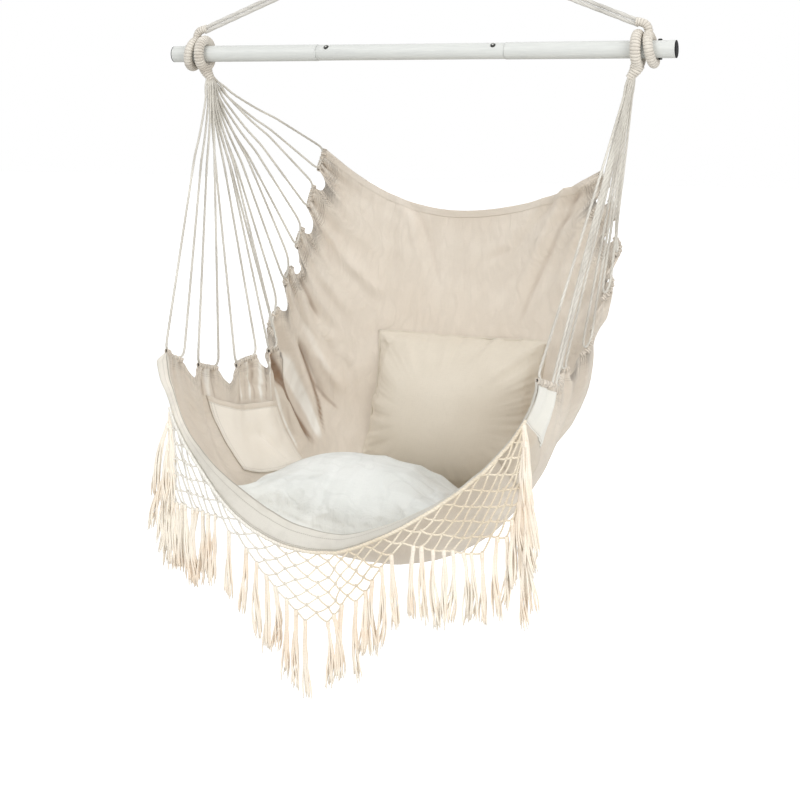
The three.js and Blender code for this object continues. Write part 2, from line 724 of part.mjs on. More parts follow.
function netSolid() {
  const knots = netKnots();
  const corners = [];
  const index = [];
  const half = netStrand / Math.SQRT2;
  const towards = [[0, half], [half, 0], [0, -half], [-half, 0]];
  for (const knot of knots.values()) {
    const place = knotPlace(knot.column, knot.row);
    knot.base = corners.length / 3;
    for (const front of [1, -1]) {
      for (const [x, z] of towards) {
        corners.push(place.x + x, place.y - (front * netThickness) / 2, place.z + z);
      }
    }
  }
  const open = new Map();
  const quad = (a, b, c, d) => index.push(a, b, c, a, c, d);
  // Front and back faces of one patch, whose rim edges are kept until a neighbour closes them
  const patch = (ring) => {
    quad(...ring.map(([knot, corner]) => knot.base + corner));
    quad(...ring.map(([knot, corner]) => knot.base + corner + towards.length).reverse());
    ring.forEach(([knot, corner], place) => {
      const [nextKnot, nextCorner] = ring[(place + 1) % ring.length];
      const from = knot.base + corner;
      const to = nextKnot.base + nextCorner;
      if (open.has(`${to},${from}`)) open.delete(`${to},${from}`);
      else open.set(`${from},${to}`, [from, to]);
    });
  };
  const [top, right, bottom, left] = [0, 1, 2, 3];
  for (const knot of knots.values()) {
    patch([[knot, top], [knot, left], [knot, bottom], [knot, right]]);
    const shift = knot.row % 2;
    const lowerLeft = knots.get(knotKey(knot.column - 1 + shift, knot.row + 1));
    const lowerRight = knots.get(knotKey(knot.column + shift, knot.row + 1));
    const next = knots.get(knotKey(knot.column + 1, knot.row));
    if (lowerRight) {
      patch([[knot, right], [knot, bottom], [lowerRight, left], [lowerRight, top]]);
    }
    if (lowerLeft) {
      patch([[knot, bottom], [knot, left], [lowerLeft, top], [lowerLeft, right]]);
    }
    if (knot.row === 0 && next) {
      patch([[knot, top], [knot, right], [next, left], [next, top]]);
    }
  }
  for (const [from, to] of open.values()) {
    quad(from, from + towards.length, to + towards.length, to);
  }
  const net = new THREE.BufferGeometry();
  net.setAttribute('position', new THREE.BufferAttribute(new Float32Array(corners), 3));
  net.setIndex(index);
  const tassels = [];
  for (const knot of knots.values()) {
    const below = [knot.column - 1 + (knot.row % 2), knot.column + (knot.row % 2)];
    if (below.every((column) => knots.has(knotKey(column, knot.row + 1)))) continue;
    const place = knotPlace(knot.column, knot.row);
    const tassel = new THREE.CylinderGeometry(tasselTopRadius, tasselRadius, tasselLength, 6);
    tassel.rotateX(Math.PI / 2).translate(place.x, place.y, place.z - tasselLength / 2);
    tassels.push(tassel);
  }
  return join(net, ...tassels);
}

// Cushions lie on the sling's facets: each face point is measured from the cloth behind it

const slingFacets = [];
for (let row = 0; row < slingSteps; row++) {
  for (let column = 0; column < slingColumnCount; column++) {
    const [a, b] = [slingVertex(column, row, halfSling), slingVertex(column + 1, row, halfSling)];
    const [c, d] = [slingVertex(column + 1, row + 1, halfSling), slingVertex(column, row + 1, halfSling)];
    slingFacets.push(new THREE.Triangle(a, b, c), new THREE.Triangle(a, c, d));
  }
}

function slingHit(origin, direction) {
  const ray = new THREE.Ray(origin, direction);
  const hit = new THREE.Vector3();
  let nearest = null;
  for (const { a, b, c } of slingFacets) {
    if (!ray.intersectTriangle(a, b, c, false, hit)) continue;
    if (!nearest || hit.distanceTo(origin) < nearest.distanceTo(origin)) nearest = hit.clone();
  }
  return nearest;
}

function cushionShares(column, row) {
  const across = (2 * column) / cushionCellCount - 1;
  const along = (2 * row) / cushionCellCount - 1;
  return {
    across: across * (1 - cushionDrawInShare * (1 - along ** 2)),
    along: along * (1 - cushionDrawInShare * (1 - across ** 2)),
    crown: (1 - Math.abs(across) ** cushionCrownShare) * (1 - Math.abs(along) ** cushionCrownShare),
  };
}

const upwards = new THREE.Vector3(0, 0, 1);
const forwards = new THREE.Vector3(0, -1, 0);
const hemTryCount = 24;

// Past the hem there is no cloth, so the cushion goes on level with the nearest that there is
function clothBehind(point, middle, direction) {
  for (let attempt = 0; attempt < hemTryCount; attempt++) {
    const hit = slingHit(point.clone().lerp(middle, attempt / hemTryCount), direction);
    if (hit) {
      const along = hit.dot(direction) - point.dot(direction);
      return point.clone().addScaledVector(direction, along);
    }
  }
  return slingHit(middle, direction);
}

function backCushionFace(column, row, side) {
  const { across, along, crown } = cushionShares(column, row);
  const x = backCushionMiddle + (across * backCushionWidth) / 2;
  const bow = (backCushionBow * across ** 2 * (1 - along)) / 2;
  const middleZ = barZ - backCushionFootDrop + backCushionHeight / 2;
  const z = middleZ + (along * backCushionHeight) / 2 + bow;
  const middle = new THREE.Vector3(backCushionMiddle, 0, middleZ);
  const cloth = clothBehind(new THREE.Vector3(x, 0, z), middle, forwards.clone().negate());
  const thickness = cushionSeam + crown * (backCushionThickness - cushionSeam);
  return cloth.addScaledVector(forwards, cushionRest + side * thickness);
}

// The seat cushion ends just in front of the back cushion
const backCushion = sheetSolid(cushionCellCount, cushionCellCount, backCushionFace);
backCushion.computeBoundingBox();
const seatCushionMiddle = backCushion.boundingBox.min.y - cushionSpacing - seatCushionDepth / 2;

function seatCushionFace(column, row, side) {
  const { across, along, crown } = cushionShares(column, row);
  const x = seatCushionMiddleX + (across * seatCushionWidth) / 2;
  const y = seatCushionMiddle + (along * seatCushionDepth) / 2;
  const level = barZ - seatDrop / 2;
  const middle = new THREE.Vector3(seatCushionMiddleX, seatCushionMiddle, level);
  const cloth = clothBehind(new THREE.Vector3(x, y, level), middle, upwards.clone().negate());
  const thickness = cushionSeam + crown * (seatCushionThickness - cushionSeam);
  return cloth.addScaledVector(upwards, cushionRest + side * thickness);
}

addPiece('bar_tube_middle', middleTube(), paintedTube);
addPiece('sling', sheetSolid(slingColumnCount, slingSteps, slingFace), canvasBeige);
const cellCounts = ([left, right, front, back]) => [right - left, back - front];
addPiece('arm_pocket', sheetSolid(...cellCounts(pocketCellShares), pocketFace), canvasBeige);
addPiece('arm_tape', sheetSolid(...cellCounts(tapeCellShares), tapeFace), tapeWhite);
addPiece('fringe_net', netSolid(), netCream);
const seatCushion = sheetSolid(cushionCellCount, cushionCellCount, seatCushionFace);
addPiece('seat_cushion', seatCushion, cushionWhite);
addPiece('back_cushion', backCushion, cushionBeige);

for (const [side, hand] of [[-1, 'left'], [1, 'right']]) {
  addPiece(`suspension_eye_${hand}`, suspensionEye(side), ropeWhite);
  addPiece(`suspension_rope_${hand}_upper`, suspensionRope(side, 1), ropeWhite);
  addPiece(`suspension_rope_${hand}_lower`, suspensionRope(side, -1), ropeWhite);
  addPiece(`bar_tube_${hand}`, outerTube(side), paintedTube);
  addPiece(`end_cap_${hand}`, endCap(side), blackPlastic);
  addPiece(`stop_pin_${hand}`, stopPin(side), blackPlastic);
  addPiece(`spring_base_${hand}`, springBase(side), springSteel);
  addPiece(`spring_leaf_${hand}`, springLeaf(side), springSteel);
  addPiece(`snap_button_${hand}`, snapButton(side), blackPlastic);
  addPiece(`seat_eye_${hand}`, seatEye(side), ropeWhite);
  for (let tab = 0; tab < tabCount; tab++) {
    addPiece(`seat_cord_${hand}_${tab + 1}`, seatCord(side, tab), ropeWhite);
  }
}

export default chair;
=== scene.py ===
import math
import random
from contextlib import contextmanager
from functools import lru_cache

import bmesh
import bpy
from mathutils import Matrix, Vector, kdtree, noise


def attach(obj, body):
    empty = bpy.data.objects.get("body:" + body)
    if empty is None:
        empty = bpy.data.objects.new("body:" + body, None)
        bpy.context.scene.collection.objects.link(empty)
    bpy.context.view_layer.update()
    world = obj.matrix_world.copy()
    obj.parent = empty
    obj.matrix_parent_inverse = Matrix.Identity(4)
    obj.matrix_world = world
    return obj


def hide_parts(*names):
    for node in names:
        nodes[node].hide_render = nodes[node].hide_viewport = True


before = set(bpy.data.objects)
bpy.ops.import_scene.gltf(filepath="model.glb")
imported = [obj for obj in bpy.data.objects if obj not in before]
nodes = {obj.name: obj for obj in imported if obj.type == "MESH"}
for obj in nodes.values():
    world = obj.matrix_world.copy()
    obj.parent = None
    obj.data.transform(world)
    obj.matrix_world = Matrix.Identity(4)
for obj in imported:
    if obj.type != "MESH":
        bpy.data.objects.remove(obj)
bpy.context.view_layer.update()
scene = bpy.context.scene
hands = {"left": -1, "right": 1}

# The hammock chair in metres: x along the bar, -y the front, z up, origin where the hook bears
barZ = -0.33805
pivotZ = -0.10005


# Camera, at the photograph's angle

view = {
    "turn": 21.0,
    "distance": 2.8177,
    "height": -0.45955,
    "roll": 0.356,
    "lens": 68.03,
    "shift": (-0.0118, -0.3538),
}


def makeCamera():
    data = bpy.data.cameras.new("camera")
    data.sensor_width = 36
    data.lens = view["lens"]
    data.shift_x, data.shift_y = view["shift"]
    camera = bpy.data.objects.new("camera", data)
    scene.collection.objects.link(camera)
    turn = math.radians(view["turn"])
    place = Vector((math.sin(turn), -math.cos(turn), 0)) * view["distance"]
    place.z = view["height"]
    turned = Matrix.Rotation(turn, 4, "Z") @ Matrix.Rotation(math.pi / 2, 4, "X")
    rolled = turned @ Matrix.Rotation(math.radians(view["roll"]), 4, "Z")
    camera.matrix_world = Matrix.Translation(place) @ rolled
    scene.camera = camera


makeCamera()
print("camera placed")


# Shader helpers

class Wire:
    def __init__(self, shade, socket):
        self.shade = shade
        self.socket = socket

    def math(self, operation, *others):
        values = dict(enumerate((self, *others)))
        return self.shade.node("ShaderNodeMath", {"operation": operation}, values)

    def __add__(self, other):
        return self.math("ADD", other)

    def __sub__(self, other):
        return self.math("SUBTRACT", other)

    def __mul__(self, other):
        return self.math("MULTIPLY", other)

    def __pow__(self, other):
        return self.math("POWER", other)

    def __rsub__(self, other):
        return self.shade.node("ShaderNodeMath", {"operation": "SUBTRACT"}, {0: other, 1: self})

    __radd__ = __add__
    __rmul__ = __mul__

    def sine(self):
        return self.math("SINE")

    def size(self):
        return self.math("ABSOLUTE")

    def ribs(self, pitch):
        return (self * (math.pi / pitch)).sine().size()

    def ease(self, low, high):
        values = {"Value": self, "From Min": low, "From Max": high}
        return self.shade.node("ShaderNodeMapRange", {"interpolation_type": "SMOOTHSTEP"}, values)


class Shade:
    def __init__(self, name, owner=None, body="Principled BSDF", **sockets):
        self.owner = owner or bpy.data.materials.new(name)
        self.owner.use_nodes = True
        self.tree = self.owner.node_tree
        self.body = self.tree.nodes[body]
        self.set(**sockets)

    def set(self, **sockets):
        for name, value in sockets.items():
            self.join(self.body.inputs[name.replace("_", " ")], value)

    def join(self, socket, value):
        if isinstance(value, Wire):
            self.tree.links.new(value.socket, socket)
        else:
            socket.default_value = value

    def node(self, kind, settings=None, values=None, out=0):
        made = self.tree.nodes.new(kind)
        for name, value in (settings or {}).items():
            setattr(made, name, value)
        for name, value in (values or {}).items():
            self.join(made.inputs[name], value)
        return Wire(self, made.outputs[out])

    def spread(self, wire):
        outs = self.node("ShaderNodeSeparateXYZ", None, {0: wire}).socket.node.outputs
        return [Wire(self, out) for out in outs]

    def joined(self, x, y, z=0.0):
        return self.node("ShaderNodeCombineXYZ", None, {0: x, 1: y, 2: z})

    def uv(self, layer="UVMap"):
        return self.node("ShaderNodeUVMap", {"uv_map": layer})

    def place(self, out="Object"):
        return self.node("ShaderNodeTexCoord", out=out)

    def noise(self, scale, detail=3.0, roughness=0.5, vector=None):
        values = {"Vector": vector or self.place(), "Scale": scale, "Detail": detail,
                  "Roughness": roughness}
        return self.node("ShaderNodeTexNoise", None, values)

    def mix(self, share, first, second):
        settings = {"data_type": "RGBA", "clamp_factor": True}
        return self.node("ShaderNodeMix", settings, {"Factor": share, 6: first, 7: second}, out=2)

    def bump(self, height, depth):
        return self.node("ShaderNodeBump", None, {"Height": height, "Distance": depth})


def paint(red, green, blue):
    def linear(level):
        share = level / 255
        return share / 12.92 if share <= 0.04045 else ((share + 0.055) / 1.055) ** 2.4
    return (linear(red), linear(green), linear(blue), 1.0)


def darker(colour, share):
    return [level * share for level in colour[:3]] + [1]


def finished(shade, *objects):
    for obj in objects:
        obj.data.materials.clear()
        obj.data.materials.append(shade.owner)


# Crossed threads: over and under in turn, from a pair of lengths in metres
def weave(across, along, pitch):
    half = math.pi / pitch / 2
    over = ((across * half).sine() * (along * half).sine()).ease(-0.25, 0.25)
    return over * across.ribs(pitch) + (1 - over) * along.ribs(pitch)


stitch = {"pitch": 0.0034, "width": 0.0009}


# A row of stitches at one distance from an edge
def stitches(distance, along, at, pitch=stitch["pitch"]):
    near = 1 - (distance - at).size().ease(stitch["width"] * 0.4, stitch["width"])
    return near * along.ribs(pitch).ease(0.25, 0.5)


# Mesh helpers

def newObject(name, bm, smooth=True, normals=True):
    if normals:
        bmesh.ops.recalc_face_normals(bm, faces=bm.faces)
    mesh = bpy.data.meshes.new(name)
    bm.to_mesh(mesh)
    bm.free()
    obj = bpy.data.objects.new(name, mesh)
    scene.collection.objects.link(obj)
    for face in mesh.polygons:
        face.use_smooth = smooth
    return obj


# A piece on its body; the CAD node it stands for, if it has one, is hidden
def addPiece(name, bm, body, slot, node=None, normals=True):
    obj = newObject(name, bm, normals=normals)
    if node:
        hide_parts(node)
    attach(obj, body)
    return obj


@contextmanager
def editing(obj):
    bm = bmesh.new()
    bm.from_mesh(obj.data)
    yield bm
    bm.to_mesh(obj.data)
    bm.free()


def applyModifiers(obj):
    shaped = obj.evaluated_get(bpy.context.evaluated_depsgraph_get())
    mesh = bpy.data.meshes.new_from_object(shaped)
    obj.modifiers.clear()
    old = obj.data
    obj.data = mesh
    bpy.data.meshes.remove(old)


# A grid whose corners are moved to place(across, along), each from 0 to 1
def addGrid(bm, columns, rows, place, size, close=False):
    layer = bm.loops.layers.uv.get("UVMap") or bm.loops.layers.uv.new("UVMap")
    made = bmesh.ops.create_grid(bm, x_segments=columns, y_segments=rows, size=0.5)["verts"]
    width, length = size
    for face in {face for vert in made for face in vert.link_faces}:
        for loop in face.loops:
            at = loop.vert.co
            loop[layer].uv = ((at.x + 0.5) * width, (at.y + 0.5) * length)
    for vert in made:
        vert.co = place(vert.co.x + 0.5, vert.co.y + 0.5)
    if close:
        bmesh.ops.remove_doubles(bm, verts=made, dist=1e-6)
    return [vert for vert in made if vert.is_valid]


def thicken(obj, thickness, offset=0.0):
    shell = obj.modifiers.new("thickness", "SOLIDIFY")
    shell.thickness = thickness
    shell.offset = offset


# A grid as a piece of the seat; values gives its columns, its rows, its flat size and its thickness
def addSheet(name, values, place, slot="canvas", node=None, close=False, normals=True):
    bm = bmesh.new()
    addGrid(bm, values["columns"], values["rows"], place, values["flat"], close)
    obj = addPiece(name, bm, "seat", slot, node, normals)
    if "thickness" in values:
        thicken(obj, values["thickness"])
    return obj


# Points at even steps along a broken line
def evenly(points, step):
    total = sum((b - a).length for a, b in zip(points, points[1:]))
    count = max(int(round(total / step)), 2)
    wanted = total / count
    result, walked, target = [points[0].copy()], 0.0, wanted
    for a, b in zip(points, points[1:]):
        span = (b - a).length
        while span > 0 and walked + span >= target - 1e-9 and len(result) < count:
            result.append(a.lerp(b, (target - walked) / span))
            target += wanted
        walked += span
    return result + [points[-1].copy()]


# A curve from the first point to the last, drawn towards those between
def bezier(points, count):
    line = []
    for step in range(count + 1):
        level = points
        while len(level) > 1:
            level = [a.lerp(b, step / count) for a, b in zip(level, level[1:])]
        line.append(level[0])
    return line


# Each inner corner becomes an arc that leaves the line up to reach before it
def rounded(points, reach):
    result = [points[0]]
    for before, corner, after in zip(points, points[1:], points[2:]):
        ends = [corner + (far - corner).normalized() * min(reach, (far - corner).length * 0.49)
                for far in (before, after)]
        result += bezier([ends[0], corner, ends[1]], 6)
    return result + [points[-1]]


# Corners ease off as each point moves to the middle of its neighbours
def relaxed(points, passes):
    line = list(points)
    for turn in range(passes):
        inner = [(a + b * 2 + c) / 4 for a, b, c in zip(line, line[1:], line[2:])]
        line = [line[0], *inner, line[-1]]
    return line


# Ring frames that don't spin about the line
def ringFrames(centres, closed):
    last = len(centres) - 1
    frames = []
    side = None
    for place, centre in enumerate(centres):
        if closed:
            before, after = centres[(place - 1) % last], centres[(place + 1) % last]
        else:
            before, after = centres[max(place - 1, 0)], centres[min(place + 1, last)]
        along = (after - before).normalized()
        if side is None:
            side = Vector((0, 1, 0)) if abs(along.y) < 0.9 else along.orthogonal().normalized()
        side = (side - along * side.dot(along)).normalized()
        frames.append((centre, side.copy(), along.cross(side).normalized()))
    return frames


# A tube on the ring centres; radiusAt(length, angle) shapes its section
def addTube(bm, centres, radiusAt, sides, closed=False):
    rings = ringFrames(centres, closed)
    lengths = [0.0]
    for a, b in zip(centres, centres[1:]):
        lengths.append(lengths[-1] + (b - a).length)
    last = len(centres) - 1

    def place(across, along):
        ring = min(int(round(along * last)), last)
        angle = 2 * math.pi * across
        centre, side, up = rings[0] if closed and ring == last else rings[ring]
        radius = radiusAt(lengths[ring], angle)
        return centre + (side * math.cos(angle) + up * math.sin(angle)) * radius

    verts = addGrid(bm, sides, last, place, (1.0, lengths[-1]), close=True)
    if not closed:
        rim = {edge for vert in verts for edge in vert.link_edges if edge.is_boundary}
        bmesh.ops.holes_fill(bm, edges=list(rim))


def roundTube(radius):
    return lambda length, angle: radius


# Strands laid round each other
def laid(values, size=1.0):
    def shape(length, angle):
        turn = angle * values["strands"] - 2 * math.pi * length / values["pitch"]
        swell = abs(math.cos(turn / 2))
        return values["radius"] * size * (1 - values["depth"] + values["depth"] * swell)
    return shape


# Close turns of thread round a rope
def whipped(radius, pitch, depth):
    def shape(length, angle):
        lean = 0.08 * math.sin(angle)
        return radius * (1 - depth + depth * abs(math.sin(math.pi * (length / pitch + lean))))
    return shape


# A profile spun about an axis through the origin
def spun(bm, profile, axis, steps):
    verts = [bm.verts.new(corner) for corner in profile]
    edges = [bm.edges.new(pair) for pair in zip(verts, verts[1:])]
    bmesh.ops.spin(bm, geom=verts + edges, cent=(0, 0, 0), axis=axis, angle=2 * math.pi,
                   steps=steps, use_merge=True, use_duplicate=False)


# What was spun, without its double corners, moved to its place
def lathed(name, bm, x, rise=barZ):
    bmesh.ops.remove_doubles(bm, verts=bm.verts, dist=1e-6)
    bmesh.ops.translate(bm, verts=bm.verts, vec=(x, 0, rise))
    return newObject(name, bm)


def sharpEdges(obj, degrees=35):
    with editing(obj) as bm:
        for edge in bm.edges:
            edge.smooth = not (edge.is_manifold and edge.calc_face_angle() > math.radians(degrees))


def ease(low, high, value):
    share = min(max((value - low) / (high - low), 0.0), 1.0)
    return share * share * (3 - 2 * share)


# Sling surface: u runs from the left hem (-1) to the right (1), v counts the tabs from the front

cloth = {
    "halfWidth": 0.3455,
    "reach": 0.307,
    "drop": 0.912,
    "thickness": 0.0026,
    "tabs": 9,
    "tabSlope": 0.22,
    "notchDepth": 0.025,
    "notchPower": 1.4,
    "backStart": 5.5,
    "tabFold": 0.008,
    "foldStart": 0.45,
    "armpitFold": 0.020,
    "armpit": (4.4, 0.4),
    "centre": [(-1, 0.902), (-0.733, 0.968), (-0.407, 1), (-0.049, 1), (0.277, 0.952),
               (0.489, 0.85), (0.635, 0.729), (0.749, 0.603), (0.853, 0.474), (0.945, 0.344)],
    "leftHem": [(-1, -1, 0.589), (-0.987, -0.7, 0.627), (-0.916, -0.391, 0.652),
                (-0.851, -0.033, 0.636), (-0.839, 0.195, 0.63), (-0.91, 0.391, 0.532),
                (-0.902, 0.537, 0.453), (-0.885, 0.668, 0.367), (-0.864, 0.798, 0.273),
                (-0.85, 0.897, 0.214)],
    "rightHem": [(1, -1, 0.596), (0.987, -0.7, 0.627), (0.916, -0.391, 0.652),
                 (0.851, -0.033, 0.636), (0.839, 0.195, 0.63), (0.945, 0.391, 0.532),
                 (1.02, 0.515, 0.44), (0.99, 0.65, 0.367), (0.92, 0.79, 0.293),
                 (0.86, 0.897, 0.255)],
    "leftFullness": [1.85, 2, 2.2, 2.3, 2.3, 2.2, 2, 1.9, 1.8, 1.7],
    "rightFullness": [1.47, 1.8, 2.14, 2.3, 2.3, 2.2, 2, 1.9, 1.8, 1.7],
    "flatness": [0, 0, 0, 0, 0, 0.1, 0.35, 0.6, 0.85, 1],
}


def clothPoint(x, y, drop):
    return Vector((x * cloth["halfWidth"], y * cloth["reach"], barZ - drop * cloth["drop"]))


centrePoints = [clothPoint(0, *row) for row in cloth["centre"]]
hemPoints = {side: [clothPoint(*row) for row in cloth[hand + "Hem"]] for hand, side in hands.items()}


# A smooth line through the points, which bends less where they lie close
def smoothPoint(points, share):
    place = share * (len(points) - 1)
    at = min(int(place), len(points) - 2)
    part = place - at
    first, second = points[at], points[at + 1]
    before = points[at - 1] if at else points[0] * 2 - points[1]
    after = points[at + 2] if at + 2 < len(points) else points[-1] * 2 - points[-2]
    spans = ((before, first), (first, second), (second, after))
    gaps = [math.sqrt((b - a).length) for a, b in spans]
    middle = (second - first) / gaps[1]
    leaving = (first - before) / gaps[0] - (second - before) / (gaps[0] + gaps[1]) + middle
    arriving = middle - (after - first) / (gaps[1] + gaps[2]) + (after - second) / gaps[2]
    leaving, arriving = leaving * gaps[1], arriving * gaps[1]
    square = (second - first) * 3 - leaving * 2 - arriving
    cube = (first - second) * 2 + leaving + arriving
    return first + leaving * part + square * part ** 2 + cube * part ** 3


def readTable(table, v):
    at = min(int(v), len(table) - 2)
    return table[at] + (table[at + 1] - table[at]) * (v - at)


def readPairs(pairs, place):
    for (low, first), (high, second) in zip(pairs, pairs[1:]):
        if place <= high:
            return first + (second - first) * max(place - low, 0) / (high - low)
    return pairs[-1][1]


@lru_cache(None)
def clothRow(v):
    share = v / cloth["tabs"]
    centre = smoothPoint(centrePoints, share)
    edges = {side: smoothPoint(hemPoints[side], share) for side in (-1, 1)}
    powers = {side: 2 / readTable(cloth[hand + "Fullness"], v) for hand, side in hands.items()}
    return centre, edges, powers, readTable(cloth["flatness"], v)


def slingPoint(u, v):
    centre, edges, powers, flat = clothRow(round(v, 5))
    side = -1 if u < 0 else 1
    edge, power = edges[side], powers[side]
    angle = min(abs(u), 1) * math.pi / 2
    across = (1 - flat) * math.sin(angle) ** power + flat * abs(u)
    rise = (1 - flat) * (1 - max(math.cos(angle), 0) ** power) + flat * u * u
    return Vector((edge.x * across, centre.y + (edge.y - centre.y) * rise,
                   centre.z + (edge.z - centre.z) * rise))


# Where the inside of a hem is measured
innerU = 0.93


def slingNormal(u, v, step=0.02):
    low, high = max(u - step, -0.999), min(u + step, 0.999)
    before, after = max(v - step, 0), min(v + step, cloth["tabs"])
    inner = min(max(u, -0.97), 0.97)
    across = slingPoint(high, v) - slingPoint(low, v)
    along = slingPoint(inner, after) - slingPoint(inner, before)
    return across.cross(along).normalized()


# Metres of cloth for one whole u at the hem, and for one tab along u
@lru_cache(None)
def hemStep(side, v):
    return (slingPoint(side, v) - slingPoint(side * innerU, v)).length / (1 - innerU)


@lru_cache(None)
def tabStep(u, v):
    low, high = max(v - 0.1, 0), min(v + 0.1, cloth["tabs"])
    return (slingPoint(u, high) - slingPoint(u, low)).length / (high - low)


def notchShare(v):
    near = round(v)
    off = abs(v - near) / (cloth["tabSlope"] + 0.02)
    if near in (0, cloth["tabs"]) or off >= 1:
        return 0.0
    return 1 - off ** cloth["notchPower"] if v < cloth["backStart"] else math.sqrt(1 - off * off)


def hemReach(side, v):
    return 1 - cloth["notchDepth"] * notchShare(v) / hemStep(side, round(v, 4))


def baseFold(u, v):
    armpit, spread = cloth["armpit"]
    wave = cloth["tabFold"] * math.cos(2 * math.pi * v)
    pleat = cloth["armpitFold"] * math.exp(-((v - armpit) / spread) ** 2)
    return ease(cloth["foldStart"], 1, abs(u)) * (wave - pleat)


# Folds of the cloth: half width and depth in metres, then the line each one follows as (u, v)
folds = [
    (0.008, -0.006, [(-0.99, 3.375), (-0.95, 3.625), (-0.85, 4.025), (-0.64, 4.15), (-0.51, 4.1)]),
    (0.009, 0.005, [(-0.84, 4.825), (-0.69, 4.8), (-0.57, 4.525), (-0.48, 4.25)]),
    (0.007, -0.015, [(-0.81, 5.225), (-0.71, 5.2), (-0.61, 5.075), (-0.52, 4.975), (-0.45, 5.05)]),
    (0.008, -0.005, [(-0.95, 1.225), (-0.86, 1.425), (-0.76, 1.6)]),
    (0.009, 0.004, [(-0.91, 0.775), (-0.78, 1.075), (-0.65, 1.325)]),
    (0.005, -0.004, [(-0.96, 2.575), (-0.89, 2.9)]),
    (0.007, -0.005, [(-0.77, 2.625), (-0.69, 2.9), (-0.6, 3.15)]),
    (0.007, 0.006, [(-0.83, 3.9), (-0.69, 3.95), (-0.57, 3.825)]),
    (0.009, -0.006, [(-0.4, 9.0), (-0.26, 8.775), (-0.16, 8.2), (-0.05, 7.525)]),
    (0.007, -0.004, [(-0.54, 9.0), (-0.53, 8.85), (-0.54, 8.325)]),
    (0.010, 0.006, [(-0.42, 8.925), (-0.36, 8.125), (-0.23, 7.025)]),
    (0.008, 0.004, [(-0.33, 8.8), (-0.27, 8.05), (-0.18, 7.125)]),
    (0.007, -0.007, [(-0.88, 7.25), (-0.82, 7.2), (-0.75, 7.025), (-0.54, 7.05)]),
    (0.007, 0.005, [(-0.81, 7.45), (-0.71, 7.275), (-0.5, 7.225)]),
    (0.008, -0.012, [(-0.92, 6.0), (-0.89, 6.025), (-0.7, 6.0), (-0.55, 6.05)]),
    (0.007, -0.007, [(-0.82, 5.95), (-0.77, 5.925), (-0.64, 5.775), (-0.53, 5.625)]),
    (0.006, -0.005, [(-0.89, 8.35), (-0.82, 8.4), (-0.71, 8.525)]),
    (0.006, -0.004, [(-0.81, 8.35), (-0.79, 8.225), (-0.76, 7.925), (-0.69, 7.65)]),
    (0.009, 0.006, [(-0.84, 6.55), (-0.7, 6.6), (-0.51, 6.525)]),
    (0.009, 0.004, [(-0.65, 7.325), (-0.49, 7.25), (-0.36, 7.225)]),
    (0.008, 0.007, [(-0.65, 5.5), (-0.53, 5.4), (-0.41, 5.375)]),
    (0.008, -0.005, [(-0.52, 5.9), (-0.42, 5.475), (-0.34, 4.925)]),
    (0.010, -0.0075, [(0.81, 8.8), (0.58, 7.825), (0.45, 7.425), (0.34, 6.75)]),
    (0.008, -0.0045, [(0.65, 8.85), (0.46, 8.475), (0.26, 7.725)]),
    (0.007, -0.004, [(0.36, 8.25), (0.27, 8.175), (0.17, 8.125)]),
    (0.006, -0.005, [(0.93, 8.6), (0.89, 8.575), (0.83, 8.55)]),
    (0.009, 0.006, [(0.76, 9.0), (0.59, 8.375), (0.4, 7.6)]),
    (0.009, 0.007, [(0.85, 8.025), (0.67, 7.475), (0.55, 6.95)]),
    (0.008, -0.007, [(0.83, 7.475), (0.69, 6.95), (0.56, 6.6)]),
    (0.008, -0.010, [(0.86, 4.85), (0.7, 4.7), (0.52, 4.2)]),
    (0.008, -0.008, [(0.97, 3.55), (0.78, 3.8), (0.55, 4.1)]),
    (0.009, 0.007, [(0.9, 4.3), (0.7, 4.2), (0.5, 4.0)]),
    (0.008, -0.006, [(0.97, 2.6), (0.8, 2.75), (0.6, 2.6)]),
    (0.008, -0.005, [(0.95, 1.5), (0.8, 1.7), (0.6, 1.9)]),
    (0.008, 0.006, [(0.92, 5.4), (0.75, 5.5), (0.55, 5.3)]),
    (0.010, -0.005, [(0.55, 1.2), (0.38, 0.8), (0.25, 0.3)]),
    (0.010, 0.005, [(-0.45, 1.2), (-0.2, 0.8), (0.1, 0.75)]),
    (0.010, -0.005, [(-0.3, 2.6), (0.1, 2.3), (0.45, 2.6)]),
    (0.010, -0.005, [(-0.2, 5.4), (0.1, 5.6), (0.35, 5.5)]),
]
foldShape = {"steps": 14, "relax": 30, "reach": 0.032, "widen": 0.6, "shoulder": -0.38,
             "hold": 0.55, "openU": 0.93, "openV": 8.7}
